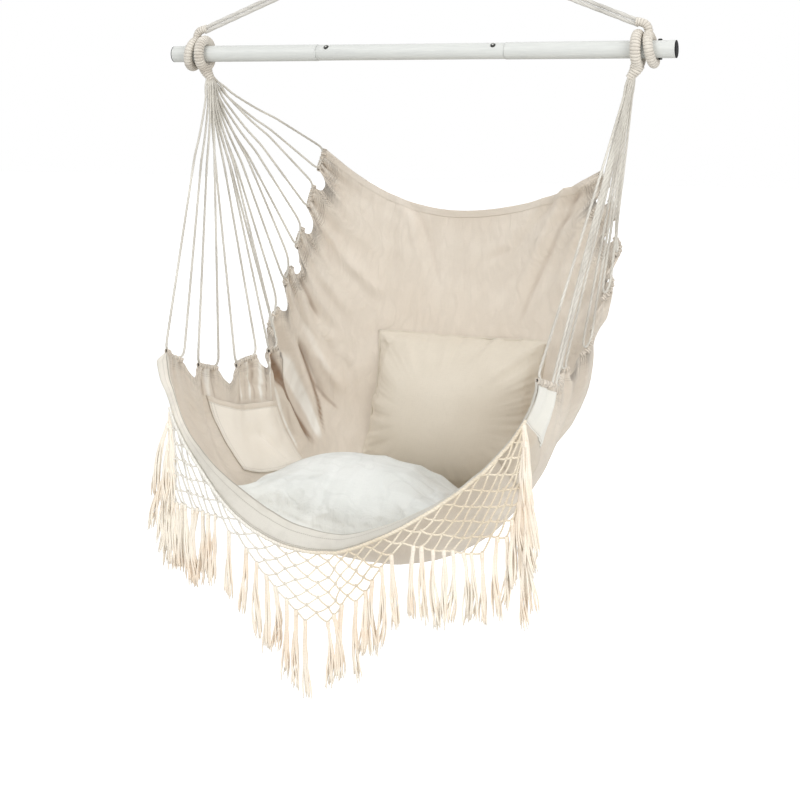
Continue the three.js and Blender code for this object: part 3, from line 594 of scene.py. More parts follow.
# Half width, tone (1 dark, -1 light) and places where pleats hide the light or catch it
shades = [
    (0.0125, 1.3, [(-0.99, 3.375), (-0.95, 3.625), (-0.85, 4.025), (-0.73, 4.15), (-0.51, 4.1)]),
    (0.0100, -1.0, [(-0.90, 4.65), (-0.77, 4.65), (-0.65, 4.6), (-0.57, 4.45), (-0.51, 4.275)]),
    (0.0065, 0.75, [(-0.81, 5.2), (-0.72, 5.15), (-0.64, 5.05), (-0.57, 4.85), (-0.48, 4.325)]),
    (0.0045, 0.45, [(-0.63, 5.075), (-0.52, 5.05), (-0.44, 5.05)]),
    (0.0050, -0.8, [(-0.90, 3.5), (-0.86, 3.6), (-0.7, 3.675), (-0.6, 3.6)]),
    (0.0040, 0.30, [(-0.81, 3.8), (-0.66, 3.75)]),
    (0.0035, 0.45, [(-0.99, 2.3), (-0.88, 2.325)]),
    (0.0035, 0.40, [(-0.99, 2.5), (-0.87, 2.5)]),
    (0.0035, 0.45, [(-0.99, 2.7), (-0.86, 2.7)]),
    (0.0040, 0.55, [(-0.99, 2.95), (-0.85, 2.925)]),
    (0.0035, -0.9, [(-0.99, 2.4), (-0.88, 2.41)]),
    (0.0035, -0.9, [(-0.99, 2.6), (-0.87, 2.6)]),
    (0.0040, -1.0, [(-0.99, 2.82), (-0.85, 2.82)]),
    (0.0040, -0.8, [(-0.99, 3.1), (-0.84, 3.1)]),
    (0.0035, 0.35, [(-0.99, 1.375), (-0.90, 1.45)]),
    (0.0035, 0.35, [(-0.99, 1.6), (-0.90, 1.7)]),
    (0.0040, -0.5, [(-0.99, 1.48), (-0.88, 1.56)]),
    (0.0080, 0.45, [(-0.93, 5.95), (-0.84, 6.0), (-0.70, 5.98)]),
    (0.0100, -0.3, [(-0.80, 5.6), (-0.66, 5.5), (-0.53, 5.4)]),
    (0.0090, 0.30, [(0.84, 8.85), (0.62, 7.95), (0.45, 7.425), (0.34, 6.75)]),
    (0.0070, 0.20, [(-0.42, 9.0), (-0.26, 8.775), (-0.16, 8.2), (-0.05, 7.525)]),
]
shadeShape = {"widen": -0.35, "hold": 0.8, "reach": 0.026}


# Points along every line, each with its line, its sideways direction, its width and its depth
def traced(lines, widen, hold):
    found = []
    for index, (wide, depth, corners) in enumerate(lines):
        pairs = [Vector((u, v, 0)) for u, v in corners]
        line = []
        for a, b in zip(pairs, pairs[1:]):
            line += [a.lerp(b, step / foldShape["steps"]) for step in range(foldShape["steps"])]
        line = relaxed(line + [pairs[-1]], foldShape["relax"])
        open_ = abs(corners[0][0]) > foldShape["openU"] or corners[0][1] > foldShape["openV"]
        last = len(line) - 1
        points = [slingPoint(pair.x, pair.y) for pair in line]
        for place, (pair, point) in enumerate(zip(line, points)):
            along = points[min(place + 1, last)] - points[max(place - 1, 0)]
            across = along.cross(slingNormal(pair.x, pair.y)).normalized()
            share = place / last
            fade = (1 if open_ else ease(0, 0.18, share)) * (1 - ease(hold, 1, share))
            found.append((point, across, index, wide * (1 + widen * share), depth * fade))
    tree = kdtree.KDTree(len(found))
    for place, values in enumerate(found):
        tree.insert(values[0], place)
    tree.balance()
    return found, tree


foldLines = traced(folds, foldShape["widen"], foldShape["hold"])
shadeLines = traced(shades, shadeShape["widen"], shadeShape["hold"])


# Of every line near a point: its depth there, its width and the sideways distance to it
def nearLines(point, lines, reach):
    points, tree = lines
    nearest = {}
    for centre, place, off in tree.find_range(point, reach):
        index = points[place][2]
        if index not in nearest or off < nearest[index][0]:
            nearest[index] = (off, place)
    for off, place in nearest.values():
        centre, across, index, wide, depth = points[place]
        sideways = (point - centre).dot(across)
        yield depth * math.exp(-max(off * off - sideways * sideways, 0) / wide ** 2), wide, sideways


def foldsAt(point):
    lift = 0.0
    for depth, wide, sideways in nearLines(point, foldLines, foldShape["reach"]):
        shoulder = foldShape["shoulder"] * math.exp(-((sideways - 2 * wide) / (1.2 * wide)) ** 2)
        lift += depth * (math.exp(-(sideways / wide) ** 2) + shoulder)
    return lift


def shadeAt(point):
    return sum(tone * math.exp(-abs(sideways / wide) ** 2.6)
               for tone, wide, sideways in nearLines(point, shadeLines, shadeShape["reach"]))


ruffle = {"count": 3.6, "depth": 0.0038, "reach": 0.022, "spread": 0.0048, "spreadReach": 0.085,
          "seed": 5}
ruffleDice = random.Random(ruffle["seed"])
tabPhases = [ruffleDice.uniform(0, 2 * math.pi) for place in range(2 * cloth["tabs"])]


# Pleats that start at each tab's hem and die out in the cloth
def tabFolds(u, v):
    side = -1 if u < 0 else 1
    inwards = max(hemReach(side, v) - abs(u), 0) * hemStep(side, round(v, 4))
    tab = min(int(v), cloth["tabs"] - 1)
    phase = tabPhases[tab + (cloth["tabs"] if side > 0 else 0)]
    part = v - tab
    close = math.exp(-inwards / ruffle["reach"])
    wide = math.exp(-inwards / ruffle["spreadReach"])
    body = math.sin(math.pi * part) ** 0.7 if 0 < part < 1 else 0
    lift = ruffle["depth"] * close * body * math.sin(2.6 * math.pi * ruffle["count"] * part + phase)
    squeezed = 0.5 + (part - 0.5) * (0.55 + 0.45 * wide)
    return lift + ruffle["spread"] * wide * (1 - 0.5 * close) * body * math.sin(
        2 * math.pi * ruffle["count"] * squeezed + phase * 1.7)


crumple = {"soft": (6.0, 0.0050), "crease": (15.0, 0.0030), "fine": (38.0, 0.0008)}


# Small creases where the cloth has been packed flat
def crumpled(point):
    lift = 0.0
    for name, (scale, depth) in crumple.items():
        level = noise.noise(point * scale)
        lift += depth * (0.25 - abs(level) if name == "crease" else level)
    return lift


# The finished cloth face, with every fold
def clothAt(u, v, lift=0.0):
    point = slingPoint(u, v)
    edge = ease(0.0, 0.12, 1 - abs(u))
    depth = baseFold(u, v) + tabFolds(u, v) + foldsAt(point) + crumpled(point) * edge
    return point + slingNormal(u, v) * (depth + lift)


# Ropes

ropeSize = {"radius": 0.00375, "swell": 1.03, "spacing": 0.0081, "strands": 3, "pitch": 0.030,
            "depth": 0.16, "step": 0.0030, "sides": 18, "bendReach": 0.024, "inNeck": 0.020,
            "aboveTurn": 0.001, "upper": 0.463, "lower": 0.474}
eye = {"hole": 0.0164, "pitch": 0.0050, "ringSteps": 7, "depth": 0.13, "sides": 26,
       "seatX": 0.431, "seatRope": 0.00985, "stem": (0.0130, 0.0086), "stemEnds": (0.002, 0.026),
       "stemSag": 0.002, "stemPast": 0.40, "hangX": 0.454326, "hangRope": 0.0088, "lean": 10.0,
       "neck": 0.0078, "neckSwell": 1.03, "neckReach": 0.0078, "bend": 0.006,
       "route": [(0.44995, 0.0252), (0.44925, 0.0361), (0.44505, 0.0442), (0.43725, 0.04775),
                 (0.4275, 0.0497)]}
gather = {"x": 0.4204, "z": -0.38205, "radius": 0.015, "rows": 4, "spacing": 0.0043,
          "deep": 0.32, "spread": 0.22, "low": 0.55, "rise": 0.002}

neckFoot = Vector((0.42115, 0, barZ + 0.051))
ropeMeeting = Vector((0.0081, 0, pivotZ - 0.024))
ropeAlong = (ropeMeeting - neckFoot).normalized()
neckEnd = neckFoot + ropeAlong * eye["neckReach"]


def mirrored(points, side):
    return [Vector((side * point.x, point.y, point.z)) for point in points]


def suspensionRoute(side, upper):
    start = neckEnd + Vector((ropeAlong.z, 0, -ropeAlong.x)) * (upper * ropeSize["spacing"] / 2)
    topX = ropeSize["spacing"] * (1 + upper / 2)
    slope = ropeAlong.z / ropeAlong.x
    cornerZ = start.z + slope * (topX - start.x)
    bendX = topX + ropeSize["bendReach"]
    bend = [Vector((bendX, 0, start.z + slope * (bendX - start.x))), Vector((topX, 0, cornerZ)),
            Vector((topX, 0, (cornerZ + 2 * pivotZ) / 3))]
    top = Vector((topX, 0, pivotZ + ropeSize["aboveTurn"]))
    return mirrored([start - ropeAlong * ropeSize["inNeck"], *bezier(bend, 8), top], side)


# A laid cord on its route
def addCord(name, node, body, route, values, length):
    centres = evenly(route, values["step"])
    bm = bmesh.new()
    addTube(bm, centres, laid(values, values["swell"]), values["sides"])
    piece = addPiece(name, bm, body, "rope", node)
    tuple(centres[0])
    [tuple(p) for p in centres]
    return piece


ropePieces = [
    addCord(f"rope_{hand}_{level}", f"suspension_rope_{hand}_{level}", "suspension",
            suspensionRoute(side, upper), ropeSize, ropeSize[level])
    for hand, side in hands.items() for level, upper in (("upper", 1), ("lower", -1))]
print("ropes hung")


# Seat cords, one to a tab: out of the neck, down, through the tab's hem and back up

cord = {
    "radius": 0.002, "swell": 1.16, "strands": 3, "pitch": 0.0135, "depth": 0.20, "step": 0.0030,
    "sides": 12, "hemClearance": 0.0022, "bend": 0.014, "relax": 14, "tight": {4: 100, 5: 100, 6: 40},
    "hemPoints": 5, "bundlePull": 0.55, "bundleFrom": (0.015, 0.05), "bundleMost": 0.011,
    "bundleTo": {-1: (0.04, 0.19), 1: (0.20, 0.60)}, "frontTabs": 4, "frontAim": 0.9,
    "left": [1.241, 1.208, 1.189, 1.146, 1.090, 0.935, 0.842, 0.765, 0.724],
    "right": [1.247, 1.207, 1.189, 1.146, 1.089, 0.915, 0.800, 0.751, 0.741],
}


def tabEnds(tab):
    first = 0 if tab == 0 else tab + cloth["tabSlope"]
    last = cloth["tabs"] if tab == cloth["tabs"] - 1 else tab + 1 - cloth["tabSlope"]
    return first, last


def broadPoint(u, v):
    return slingPoint(u, v) + slingNormal(u, v) * baseFold(u, v)


def hemPoint(side, v):
    edge = broadPoint(side, v)
    outwards = (edge - broadPoint(side * innerU, v)).normalized()
    return edge + outwards * (cord["radius"] + cord["hemClearance"])


def neckMiddle(side):
    return Vector((side * gather["x"], 0, gather["z"]))


def cordTop(side, hem, order):
    middle = neckMiddle(side)
    along = (hem - middle).normalized()
    lane = ((order % gather["rows"]) - (gather["rows"] - 1) / 2) * gather["spacing"]
    return middle + along * (gather["radius"] / math.hypot(along.y, along.z)) + Vector((lane, 0, 0))


# The two points of a cord inside the neck
def inNeck(side, top):
    middle = neckMiddle(side)
    inner = middle.lerp(Vector((side * eye["seatX"], 0, barZ - eye["hole"])), gather["deep"])
    return [inner + (top - middle) * gather["spread"],
            middle.lerp(top, gather["low"]) + Vector((0, 0, gather["rise"]))]


def cordRoute(side, tab):
    first, last = tabEnds(tab)
    count = cord["hemPoints"]
    run = [hemPoint(side, first + (last - first) * step / (count - 1)) for step in range(count)]
    start, end = cordTop(side, run[0], 2 * tab), cordTop(side, run[-1], 2 * tab + 1)
    line = [*inNeck(side, start), start, *run, end, *reversed(inNeck(side, end))]
    passes = cord["tight"].get(tab, cord["relax"])
    line = relaxed(evenly(rounded(line, cord["bend"]), cord["step"]), passes)
    middle = neckMiddle(side)
    down = Vector((side * -0.10, 0, -1)).normalized()
    if side > 0 and tab < cord["frontTabs"]:
        down = (hemPoint(side, cord["frontAim"]) - middle).normalized()
    return relaxed([bundled(side, point, middle, down) for point in line], 4)


# Below the neck the cords cling together before they spread
def bundled(side, point, middle, down):
    along, reach = (point - middle).dot(down), (point - middle).length
    pull = cord["bundlePull"] * ease(*cord["bundleFrom"], along)
    pull *= 1 - ease(*cord["bundleTo"][side], reach)
    move = (middle + down * along - point) * pull
    most = cord["bundleMost"]
    return point + move.normalized() * (most * (1 - math.exp(-move.length / most)))


cordPieces = []
for hand, side in hands.items():
    for tab, length in enumerate(cord[hand]):
        name = f"seat_cord_{hand}_{tab + 1}"
        cordPieces.append(addCord(name, name, "seat", cordRoute(side, tab), cord, length))
print("cords laid")


# Hanging loop and its whipping

loop = {"rope": 0.006, "inner": 0.019, "legX": 0.0063, "legTop": -0.0617, "legFoot": -0.096,
        "step": 0.0012, "swell": 1.02, "turns": 0.0028, "depth": 0.09, "sides": 22}
whip = {"top": -0.0622, "foot": -0.1085, "wall": 0.0045, "gap": 0.0003, "pitch": 0.0030,
        "outside": 0.62, "ridge": 0.0007, "sink": 0.0006, "swell": 0.0012, "between": 2.2,
        "flare": (-0.098, -0.106, 0.25), "columns": 48, "rings": 96, "flat": (0.09, 0.06)}


def loopHalf():
    crown = loop["inner"] + loop["rope"]
    crownZ = loop["rope"] - crown
    foot, top = (Vector((loop["legX"], 0, loop[name])) for name in ("legFoot", "legTop"))
    side = Vector((crown, 0, crownZ))
    bend = bezier([top, top + Vector((0, 0, loop["rope"])), side - Vector((0, 0, crown / 2)), side], 14)
    angles = [math.pi / 2 * step / 12 for step in range(1, 13)]
    return [foot, *bend] + [
        Vector((crown * math.cos(angle), 0, crownZ + crown * math.sin(angle))) for angle in angles]


bm = bmesh.new()
halfLoop = loopHalf()
addTube(bm, evenly(halfLoop + mirrored(halfLoop[-2::-1], -1), loop["step"]),
        whipped(loop["rope"] * loop["swell"], loop["turns"], loop["depth"]), loop["sides"])
loopPiece = addPiece("hanging_loop", bm, "hanger", "rope", "hanging_loop")


# The whipping is a wall round both legs, open below where the ropes come in
def whippingPlace(across, along):
    angle = 2 * math.pi * across
    inner = loop["rope"] + whip["gap"]
    high, low = whip["top"], whip["foot"]
    if along < whip["outside"]:
        share = along / whip["outside"]
        z = low + (high - low) * share
        ridge = abs(math.sin(math.pi * (z - low) / whip["pitch"]))
        radius = inner + whip["gap"] + whip["wall"] - whip["sink"] + whip["ridge"] * ridge
        radius += whip["swell"] * (math.sin(math.pi * share) - ease(0.9, 1, share))
    else:
        share = (along - whip["outside"]) / (1 - whip["outside"])
        z = high + (low - high) * share
        radius = inner + whip["swell"] * ease(0.6, 1, share)
    shift = min(max(math.cos(angle) * whip["between"], -1), 1) * loop["legX"]
    start, end, flare = whip["flare"]
    widen = 1 + flare * ease(start, end, z)
    return Vector((shift * widen + radius * math.cos(angle), radius * math.sin(angle), z))


bm = bmesh.new()
addGrid(bm, whip["columns"], whip["rings"], whippingPlace, whip["flat"], close=True)
bmesh.ops.bridge_loops(bm, edges=[edge for edge in bm.edges if edge.is_boundary])
whipping = addPiece("loop_whipping", bm, "hanger", "rope", "loop_whipping")


# Eyes round the bar

def addRing(bm, rope, x, side, lean):
    radius = eye["hole"] + rope
    circle = 2 * math.pi * radius
    count = int(circle / (eye["pitch"] / eye["ringSteps"]))
    tilt = Matrix.Rotation(-side * math.radians(lean), 3, "Y")
    stretch = 1 / math.cos(math.radians(lean))
    line = []
    for step in range(count + 1):
        angle = 2 * math.pi * step / count
        point = Vector((0, radius * math.cos(angle), radius * math.sin(angle) * stretch))
        line.append(tilt @ point + Vector((side * x, 0, barZ)))
    line[-1] = line[0].copy()
    shape = whipped(rope, circle / round(circle / eye["pitch"]), eye["depth"])
    addTube(bm, line, shape, eye["sides"], closed=True)


def addStem(bm, points, radius, narrowing=lambda length: 1):
    shape = whipped(radius, eye["pitch"], eye["depth"])
    addTube(bm, evenly(points, eye["pitch"] / eye["ringSteps"]),
            lambda length, angle: shape(length, angle) * narrowing(length), eye["sides"])


eyePieces = []
for hand, side in hands.items():
    bm = bmesh.new()
    addRing(bm, eye["seatRope"], eye["seatX"], side, 0)
    foot = Vector((side * eye["seatX"], 0, barZ - eye["hole"] - eye["seatRope"]))
    end = neckMiddle(side)
    wide, narrow = eye["stem"]
    middle = foot.lerp(end, 0.5) - Vector((0, 0, eye["stemSag"]))
    addStem(bm, [foot, middle, end + (end - foot) * eye["stemPast"]], wide,
            lambda length: 1 + (narrow / wide - 1) * ease(*eye["stemEnds"], length))
    eyePieces.append(addPiece(f"seat_eye_{hand}", bm, "seat", "rope", f"seat_eye_{hand}"))
    bm = bmesh.new()
    addRing(bm, eye["hangRope"], eye["hangX"], side, eye["lean"])
    line = mirrored([Vector((x, 0, barZ + rise)) for x, rise in eye["route"]], side)
    addStem(bm, rounded(line, eye["bend"]), eye["neck"] * eye["neckSwell"])
    name = f"suspension_eye_{hand}"
    eyePieces.append(addPiece(name, bm, "suspension", "rope", name))
print("eyes bound")


# Spreader bar

bar = {"radius": 0.0159, "wall": 0.0015, "middleRadius": 0.0151, "middleWall": 0.0012,
       "middleEnd": 0.187, "end": 0.5, "flange": 0.0017, "plug": 0.015, "gap": 0.0003,
       "spigot": 0.060, "edge": 0.0005, "dome": 0.0045, "domeRise": 0.0011, "steps": 56,
       "drill": 0.03, "drillFrom": 0.0165}
button = {"x": 0.166, "radius": 0.004, "play": 0.0011, "rise": 0.0024, "lean": 48.0, "seat": 0.0083}
pin = {"x": 0.470, "radius": 0.0022, "head": 0.004, "headHeight": 0.0025, "steps": 28}


def leaning(side):
    turn = Matrix.Rotation(math.radians(button["lean"]), 4, "X")
    return Matrix.Translation((side * button["x"], 0, barZ)) @ turn


def drilled(obj, side):
    bm = bmesh.new()
    radius = button["radius"] + button["play"]
    bmesh.ops.create_cone(bm, cap_ends=True, segments=32, radius1=radius, radius2=radius,
                          depth=bar["drill"])
    place = leaning(side) @ Matrix.Translation((0, 0, bar["drillFrom"]))
    bmesh.ops.transform(bm, matrix=place, verts=bm.verts)
    drill = newObject("drill", bm, smooth=False)
    cut = obj.modifiers.new("hole", "BOOLEAN")
    cut.object, cut.operation, cut.solver = drill, "DIFFERENCE", "EXACT"
    applyModifiers(obj)
    bpy.data.objects.remove(drill)


# A profile of (place along the bar, radius) spun about the bar's axis
def turned(name, profile, side=1):
    bm = bmesh.new()
    spun(bm, [(side * along, 0, radius) for along, radius in profile], (1, 0, 0), bar["steps"])
    return lathed(name, bm, 0)


def middleProfile(end, outer, inner, edge):
    half = [(end - edge, outer), (end - edge * 0.3, outer - edge * 0.3), (end, outer - edge),
            (end, inner + edge), (end - edge, inner)]
    return [(-along, radius) for along, radius in reversed(half[:-1])] + half + [
        (-end + edge, inner), (-end, inner + edge)]


def outerProfile(spigot, inner):
    start, outer, edge, wall = bar["middleEnd"] + bar["gap"], bar["radius"], bar["edge"], bar["wall"]
    end = bar["end"] - bar["flange"] - bar["gap"]
    foot = start - bar["spigot"]
    return [(foot, inner), (foot, spigot), (start, spigot), (start, outer - edge), (start + edge, outer),
            (end - edge, outer), (end, outer - edge), (end, outer - wall),
            (start + 2 * wall, outer - wall), (start + 2 * wall, inner), (foot, inner)]


def capProfile():
    seat, outer = bar["end"] - bar["flange"], bar["radius"]
    plug = outer - bar["wall"] - bar["gap"]
    angles = [math.pi / 2 * step / 8 for step in range(9)]
    return [(seat - bar["plug"], 0), (seat - bar["plug"], plug), (seat, plug), (seat, outer - 0.0002),
            (seat + 0.0003, outer)] + [
            (seat + 0.0006 + bar["domeRise"] * math.sin(angle),
             (outer - bar["dome"]) + bar["dome"] * math.cos(angle)) for angle in angles] + [
            (bar["end"] + 0.0004, 0)]


def pinProfile(way):
    head, height = pin["head"], bar["radius"] + bar["gap"]
    top = height + pin["headHeight"]
    return [(radius, 0, way * z) for radius, z in (
        (0, top), (head * 0.55, top - 0.0001), (head * 0.86, top - 0.0006), (head, top - 0.0014),
        (head, height), (pin["radius"], height), (pin["radius"], 0))]


def buttonProfile():
    radius, seat, top = button["radius"], button["seat"], bar["middleRadius"] + button["rise"]
    return [(r, 0, z) for r, z in (
        (0, seat), (radius, seat), (radius, top - 0.0012), (radius * 0.93, top - 0.0006),
        (radius * 0.75, top - 0.0002), (radius * 0.4, top), (0, top))]


def asPiece(obj, body):
    sharpEdges(obj)
    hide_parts(obj.name.split(".")[0])
    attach(obj, body)
    return obj


middleInner = bar["middleRadius"] - bar["middleWall"]
spigot = middleInner - bar["gap"]
middle = turned("bar_tube_middle", middleProfile(bar["middleEnd"], bar["middleRadius"], middleInner,
                                                 bar["edge"]))
tubes, caps, snaps = [middle], [], []
for hand, side in hands.items():
    tubes.append(turned(f"bar_tube_{hand}", outerProfile(spigot, spigot - bar["wall"]), side))
    drilled(middle, side)
    drilled(tubes[-1], side)
    caps.append(turned(f"end_cap_{hand}", capProfile(), side))
    bm = bmesh.new()
    for way in (1, -1):
        spun(bm, pinProfile(way), (0, 0, 1), pin["steps"])
    caps.append(lathed(f"stop_pin_{hand}", bm, side * pin["x"]))
    bm = bmesh.new()
    spun(bm, buttonProfile(), (0, 0, 1), pin["steps"])
    snap = lathed(f"snap_button_{hand}", bm, 0, 0)
    snap.data.transform(leaning(side))
    snaps.append(asPiece(snap, f"button_{hand}"))
for tube in tubes:
    asPiece(tube, "bar")
for cap in caps:
    asPiece(cap, "bar")
print("bar turned")


# Sling

slingGrid = {"columns": 148, "rows": 300, "flat": (1.00, 0.98), "spread": 0.3,
             "thickness": cloth["thickness"]}


def slingShares(across, along):
    v = along * cloth["tabs"]
    s = across * 2 - 1
    spread = (1 + slingGrid["spread"]) * s - slingGrid["spread"] * s ** 3
    return spread * hemReach(-1 if s < 0 else 1, v), v


wrinkle = {"bow": 0.025, "from": 0.012, "wide": 0.016, "hemReach": 0.026, "pleat": 0.006,
           "pleatShadeAndHighlight": 0.35, "middle": (0.0, -0.15, -0.85)}


# For the shader: the distance from the hem and the painted shade and highlight of the pleats, the arcs
# between two notches and the gathers along the hem, each of these two with its strength
def hemValues(across, along):
    u, v = slingShares(across, along)
    side = -1 if u < 0 else 1
    inwards = (hemReach(side, v) - abs(u)) * hemStep(side, round(v, 3))
    part = v - int(v)
    arc = inwards - wrinkle["bow"] * (1 - (2 * part - 1) ** 2)
    strength = math.exp(-((arc - wrinkle["from"]) / wrinkle["wide"]) ** 2) * ease(5.3, 5.8, v)
    # Painted shade in the pleats' valleys and painted highlight on their ridges
    tone = shadeAt(slingPoint(u, v)) - tabFolds(u, v) / wrinkle["pleat"] * wrinkle["pleatShadeAndHighlight"]
    near = math.exp(-inwards / wrinkle["hemReach"])
    return {"edge": (inwards, min(max(tone, -1), 1)), "arc": (arc, strength),
            "gather": (v * tabStep(side * 0.95, round(v, 2)), near)}


def hemLayers(obj):
    names = ("edge", "arc", "gather")
    for name in names:
        obj.data.uv_layers.new(name=name)
    layers = {name: obj.data.uv_layers[name].data for name in names}
    width, length = slingGrid["flat"]
    known = {}
    for corner, base in enumerate(obj.data.uv_layers["UVMap"].data):
        key = (round(base.uv.x / width, 5), round(base.uv.y / length, 5))
        if key not in known:
            known[key] = hemValues(*key)
        for name, layer in layers.items():
            layer[corner].uv = known[key][name]


sling = addSheet("sling", slingGrid, lambda across, along: clothAt(*slingShares(across, along)),
                 node="sling", normals=False)
hemLayers(sling)
print("sling draped")


# Tab hems: the cloth is turned over each cord and puckers on it

casing = {"ends": 0.0027, "swell": 0.0010, "pucker": 0.0012, "count": 11, "columns": 18, "rows": 72,
          "outset": 0.0006, "drop": 0.0022, "wave": 0.0012, "short": 0.015, "flat": (0.03, 0.05),
          "thickness": 0.0008}
casingDice = random.Random(11)


def casingPlace(side, tab):
    first, last = tabEnds(tab)
    first, last = first + casing["short"], last - casing["short"]
    phases = [casingDice.uniform(0, 2 * math.pi) for step in range(3)]

    def place(across, along):
        v = min(max(first + (last - first) * along, 0.01), cloth["tabs"] - 0.01)
        centre = hemPoint(side, v)
        line = hemPoint(side, min(v + 0.03, cloth["tabs"])) - hemPoint(side, max(v - 0.03, 0))
        line = line.normalized()
        inwards = broadPoint(side * innerU, v) - centre
        inwards = (inwards - line * inwards.dot(line)).normalized()
        normal = line.cross(inwards).normalized()
        angle = 2 * math.pi * across
        turn = 2 * math.pi * casing["count"] * along
        pucker = math.sin(turn + phases[0] + 0.7 * math.sin(angle + phases[1]))
        full = ease(0, 0.14, min(along, 1 - along))
        radius = casing["ends"] + casing["swell"] * full
        radius += casing["pucker"] * full * pucker * (0.6 + 0.4 * math.sin(angle * 2 + phases[2]))
        tail = max(math.cos(angle), 0) ** 3 * casing["drop"]
        wave = casing["wave"] * math.sin(turn / 2 + phases[1])
        return (centre + inwards * (math.cos(angle) * radius + tail + casing["outset"])
                + normal * (math.sin(angle) * radius * 0.92 + wave))
    return place


casingPieces = []
for hand, side in hands.items():
    bm = bmesh.new()
    for tab in range(cloth["tabs"]):
        place = casingPlace(side, tab)
        addGrid(bm, casing["columns"], casing["rows"], place, casing["flat"], close=True)
    casingPieces.append(addPiece(f"tab_hems_{hand}", bm, "seat", "canvas"))
    thicken(casingPieces[-1], casing["thickness"], 1.0)


# The back's top hem is bound; the front's falls outwards over the edge as a flap

band = {"back": 0.013, "turn": 0.44, "columns": 260, "rows": 20, "stand": 0.0017, "spread": 0.25,
        "reach": 0.996, "flat": (1.2, 0.05)}
flap = {"inner": 0.010, "innerShare": 0.22, "wrap": 0.0046, "wrapFrom": 0.006, "forward": 0.010,
        "forwardFrom": 0.03, "wave": 0.0016, "waveFrom": 0.02, "waves": (31, 2, 9), "least": 0.001,
        "widths": [(-1, 0.016), (-0.9, 0.012), (-0.8, 0.008), (-0.7, 0.008), (-0.6, 0.010),
                   (-0.5, 0.017), (-0.4, 0.029), (-0.3, 0.035), (-0.2, 0.035), (-0.1, 0.031),
                   (0, 0.025), (0.1, 0.021), (0.2, 0.017), (0.3, 0.011), (0.42, 0.003), (1, 0.003)]}


def hemShare(across):
    s = across * 2 - 1
    return ((1 + band["spread"]) * s - band["spread"] * s ** 3) * band["reach"]


def flapWidth(u):
    wide = sum(readPairs(flap["widths"], u + shift) for shift in (-0.06, -0.03, 0, 0.03, 0.06)) / 5
    return flap["least"] + (wide - flap["least"]) * ease(0, 0.045, 1 - abs(u))


# A point of the flap, from the cloth's edge (share 0) to its own hem (share 1)
def flapPoint(u, share):
    wide = flapWidth(u)
    fast, swing, slow = flap["waves"]
    wave = flap["wave"] * math.sin(fast * u + swing * math.sin(slow * u)) * share
    forward = flap["wrap"] * ease(0, 0.15, share) * min(wide / flap["wrapFrom"], 1)
    bow = flap["forward"] * math.sin(0.8 * math.pi * share)
    forward += bow * min(wide / flap["forwardFrom"], 1) + wave * min(wide / flap["waveFrom"], 1)
    point = clothAt(u, 0, band["stand"] * (1 - share))
    return point - slingNormal(u, 0) * (wide * share) + Vector((0, -forward, 0))


def frontPlace(across, along):
    u = hemShare(across)
    if along > flap["innerShare"]:
        return flapPoint(u, (along - flap["innerShare"]) / (1 - flap["innerShare"]))
    off = flap["inner"] * (0.25 + 0.75 * min(flapWidth(u) / 0.012, 1)) * (1 - along / flap["innerShare"])
    return clothAt(u, off / tabStep(round(u, 4), 0.15), band["stand"])


def backPlace(across, along):
    u = hemShare(across)
    step = tabStep(round(u, 4), cloth["tabs"] - 0.15)
    first, last = band["turn"], 1 - band["turn"]
    if along < first:
        off, lift = band["back"] * (1 - along / first), band["stand"]
    elif along > last:
        off, lift = band["back"] * (along - last) / first, -band["stand"]
    else:
        angle = math.pi * (along - first) / (last - first)
        off, lift = -band["stand"] * math.sin(angle), band["stand"] * math.cos(angle)
    point = clothAt(u, cloth["tabs"] - max(off, 0) / step, lift)
    if off < 0:
        outward = clothAt(u, cloth["tabs"]) - clothAt(u, cloth["tabs"] - 0.08)
        point += outward.normalized() * -off
    return point


frontBand = addSheet("hem_front", {**band, "thickness": 0.0011}, frontPlace)
backBand = addSheet("hem_back", {**band, "thickness": 0.0007}, backPlace)
print("hems bound")


# Pocket on the inside of the left arm

pocketValues = {"u": (-0.91, 0.28, 0.07), "v": (1.475, 0.375, 1.95, -0.25), "open": 0.005,
                "stand": 0.0038, "fold": 0.0008, "crease": -0.0014, "ridge": 0.0020,
                "columns": 56, "rows": 70, "flat": (0.165, 0.170), "thickness": 0.0014}


# The top border is nearly straight and stands off a little; the others are sewn down
def pocketPlace(across, along):
    u, uDown, uAlong = pocketValues["u"]
    v, vDown, vAlong, vBoth = pocketValues["v"]
    u += uDown * across + uAlong * along
    v += vDown * across + vAlong * along + vBoth * across * along
    inside = max(math.sin(math.pi * along), 0) ** 0.6
    sag = pocketValues["open"] * (1 - ease(0, 0.45, across)) * inside
    fold = pocketValues["fold"] * math.sin(11 * along + 6 * across) * (0.3 + across)
    crease = math.exp(-((along - 0.70 + 0.35 * across) / 0.05) ** 2) * ease(0.1, 0.4, across)
    ridge = math.exp(-((along - 0.45 - 0.2 * across) / 0.06) ** 2) * ease(0.3, 0.6, across)
    fold += pocketValues["crease"] * crease + pocketValues["ridge"] * ridge
    edge = ease(0, 0.08, min(along, 1 - along, 1 - across))
    return clothAt(u, v, pocketValues["stand"] + sag + fold * edge)


pocketRim = {"half": 0.035, "radius": 0.0012, "stand": 0.0004, "v": 2.2, "columns": 14, "rows": 90,
             "flat": (0.03, 0.170)}


def pocketHemPlace(across, along):
    angle = 2 * math.pi * across
    point = pocketPlace(pocketRim["half"] * (1 + math.cos(angle)), along)
    normal = slingNormal(pocketValues["u"][0], pocketRim["v"])
    return point + normal * (pocketRim["radius"] * math.sin(angle) + pocketRim["stand"])


pocket = addSheet("arm_pocket", pocketValues, pocketPlace, node="arm_pocket", normals=False)
pocketHem = addSheet("pocket_hem", pocketRim, pocketHemPlace, close=True)


# Plain tape outside the right arm's front corner

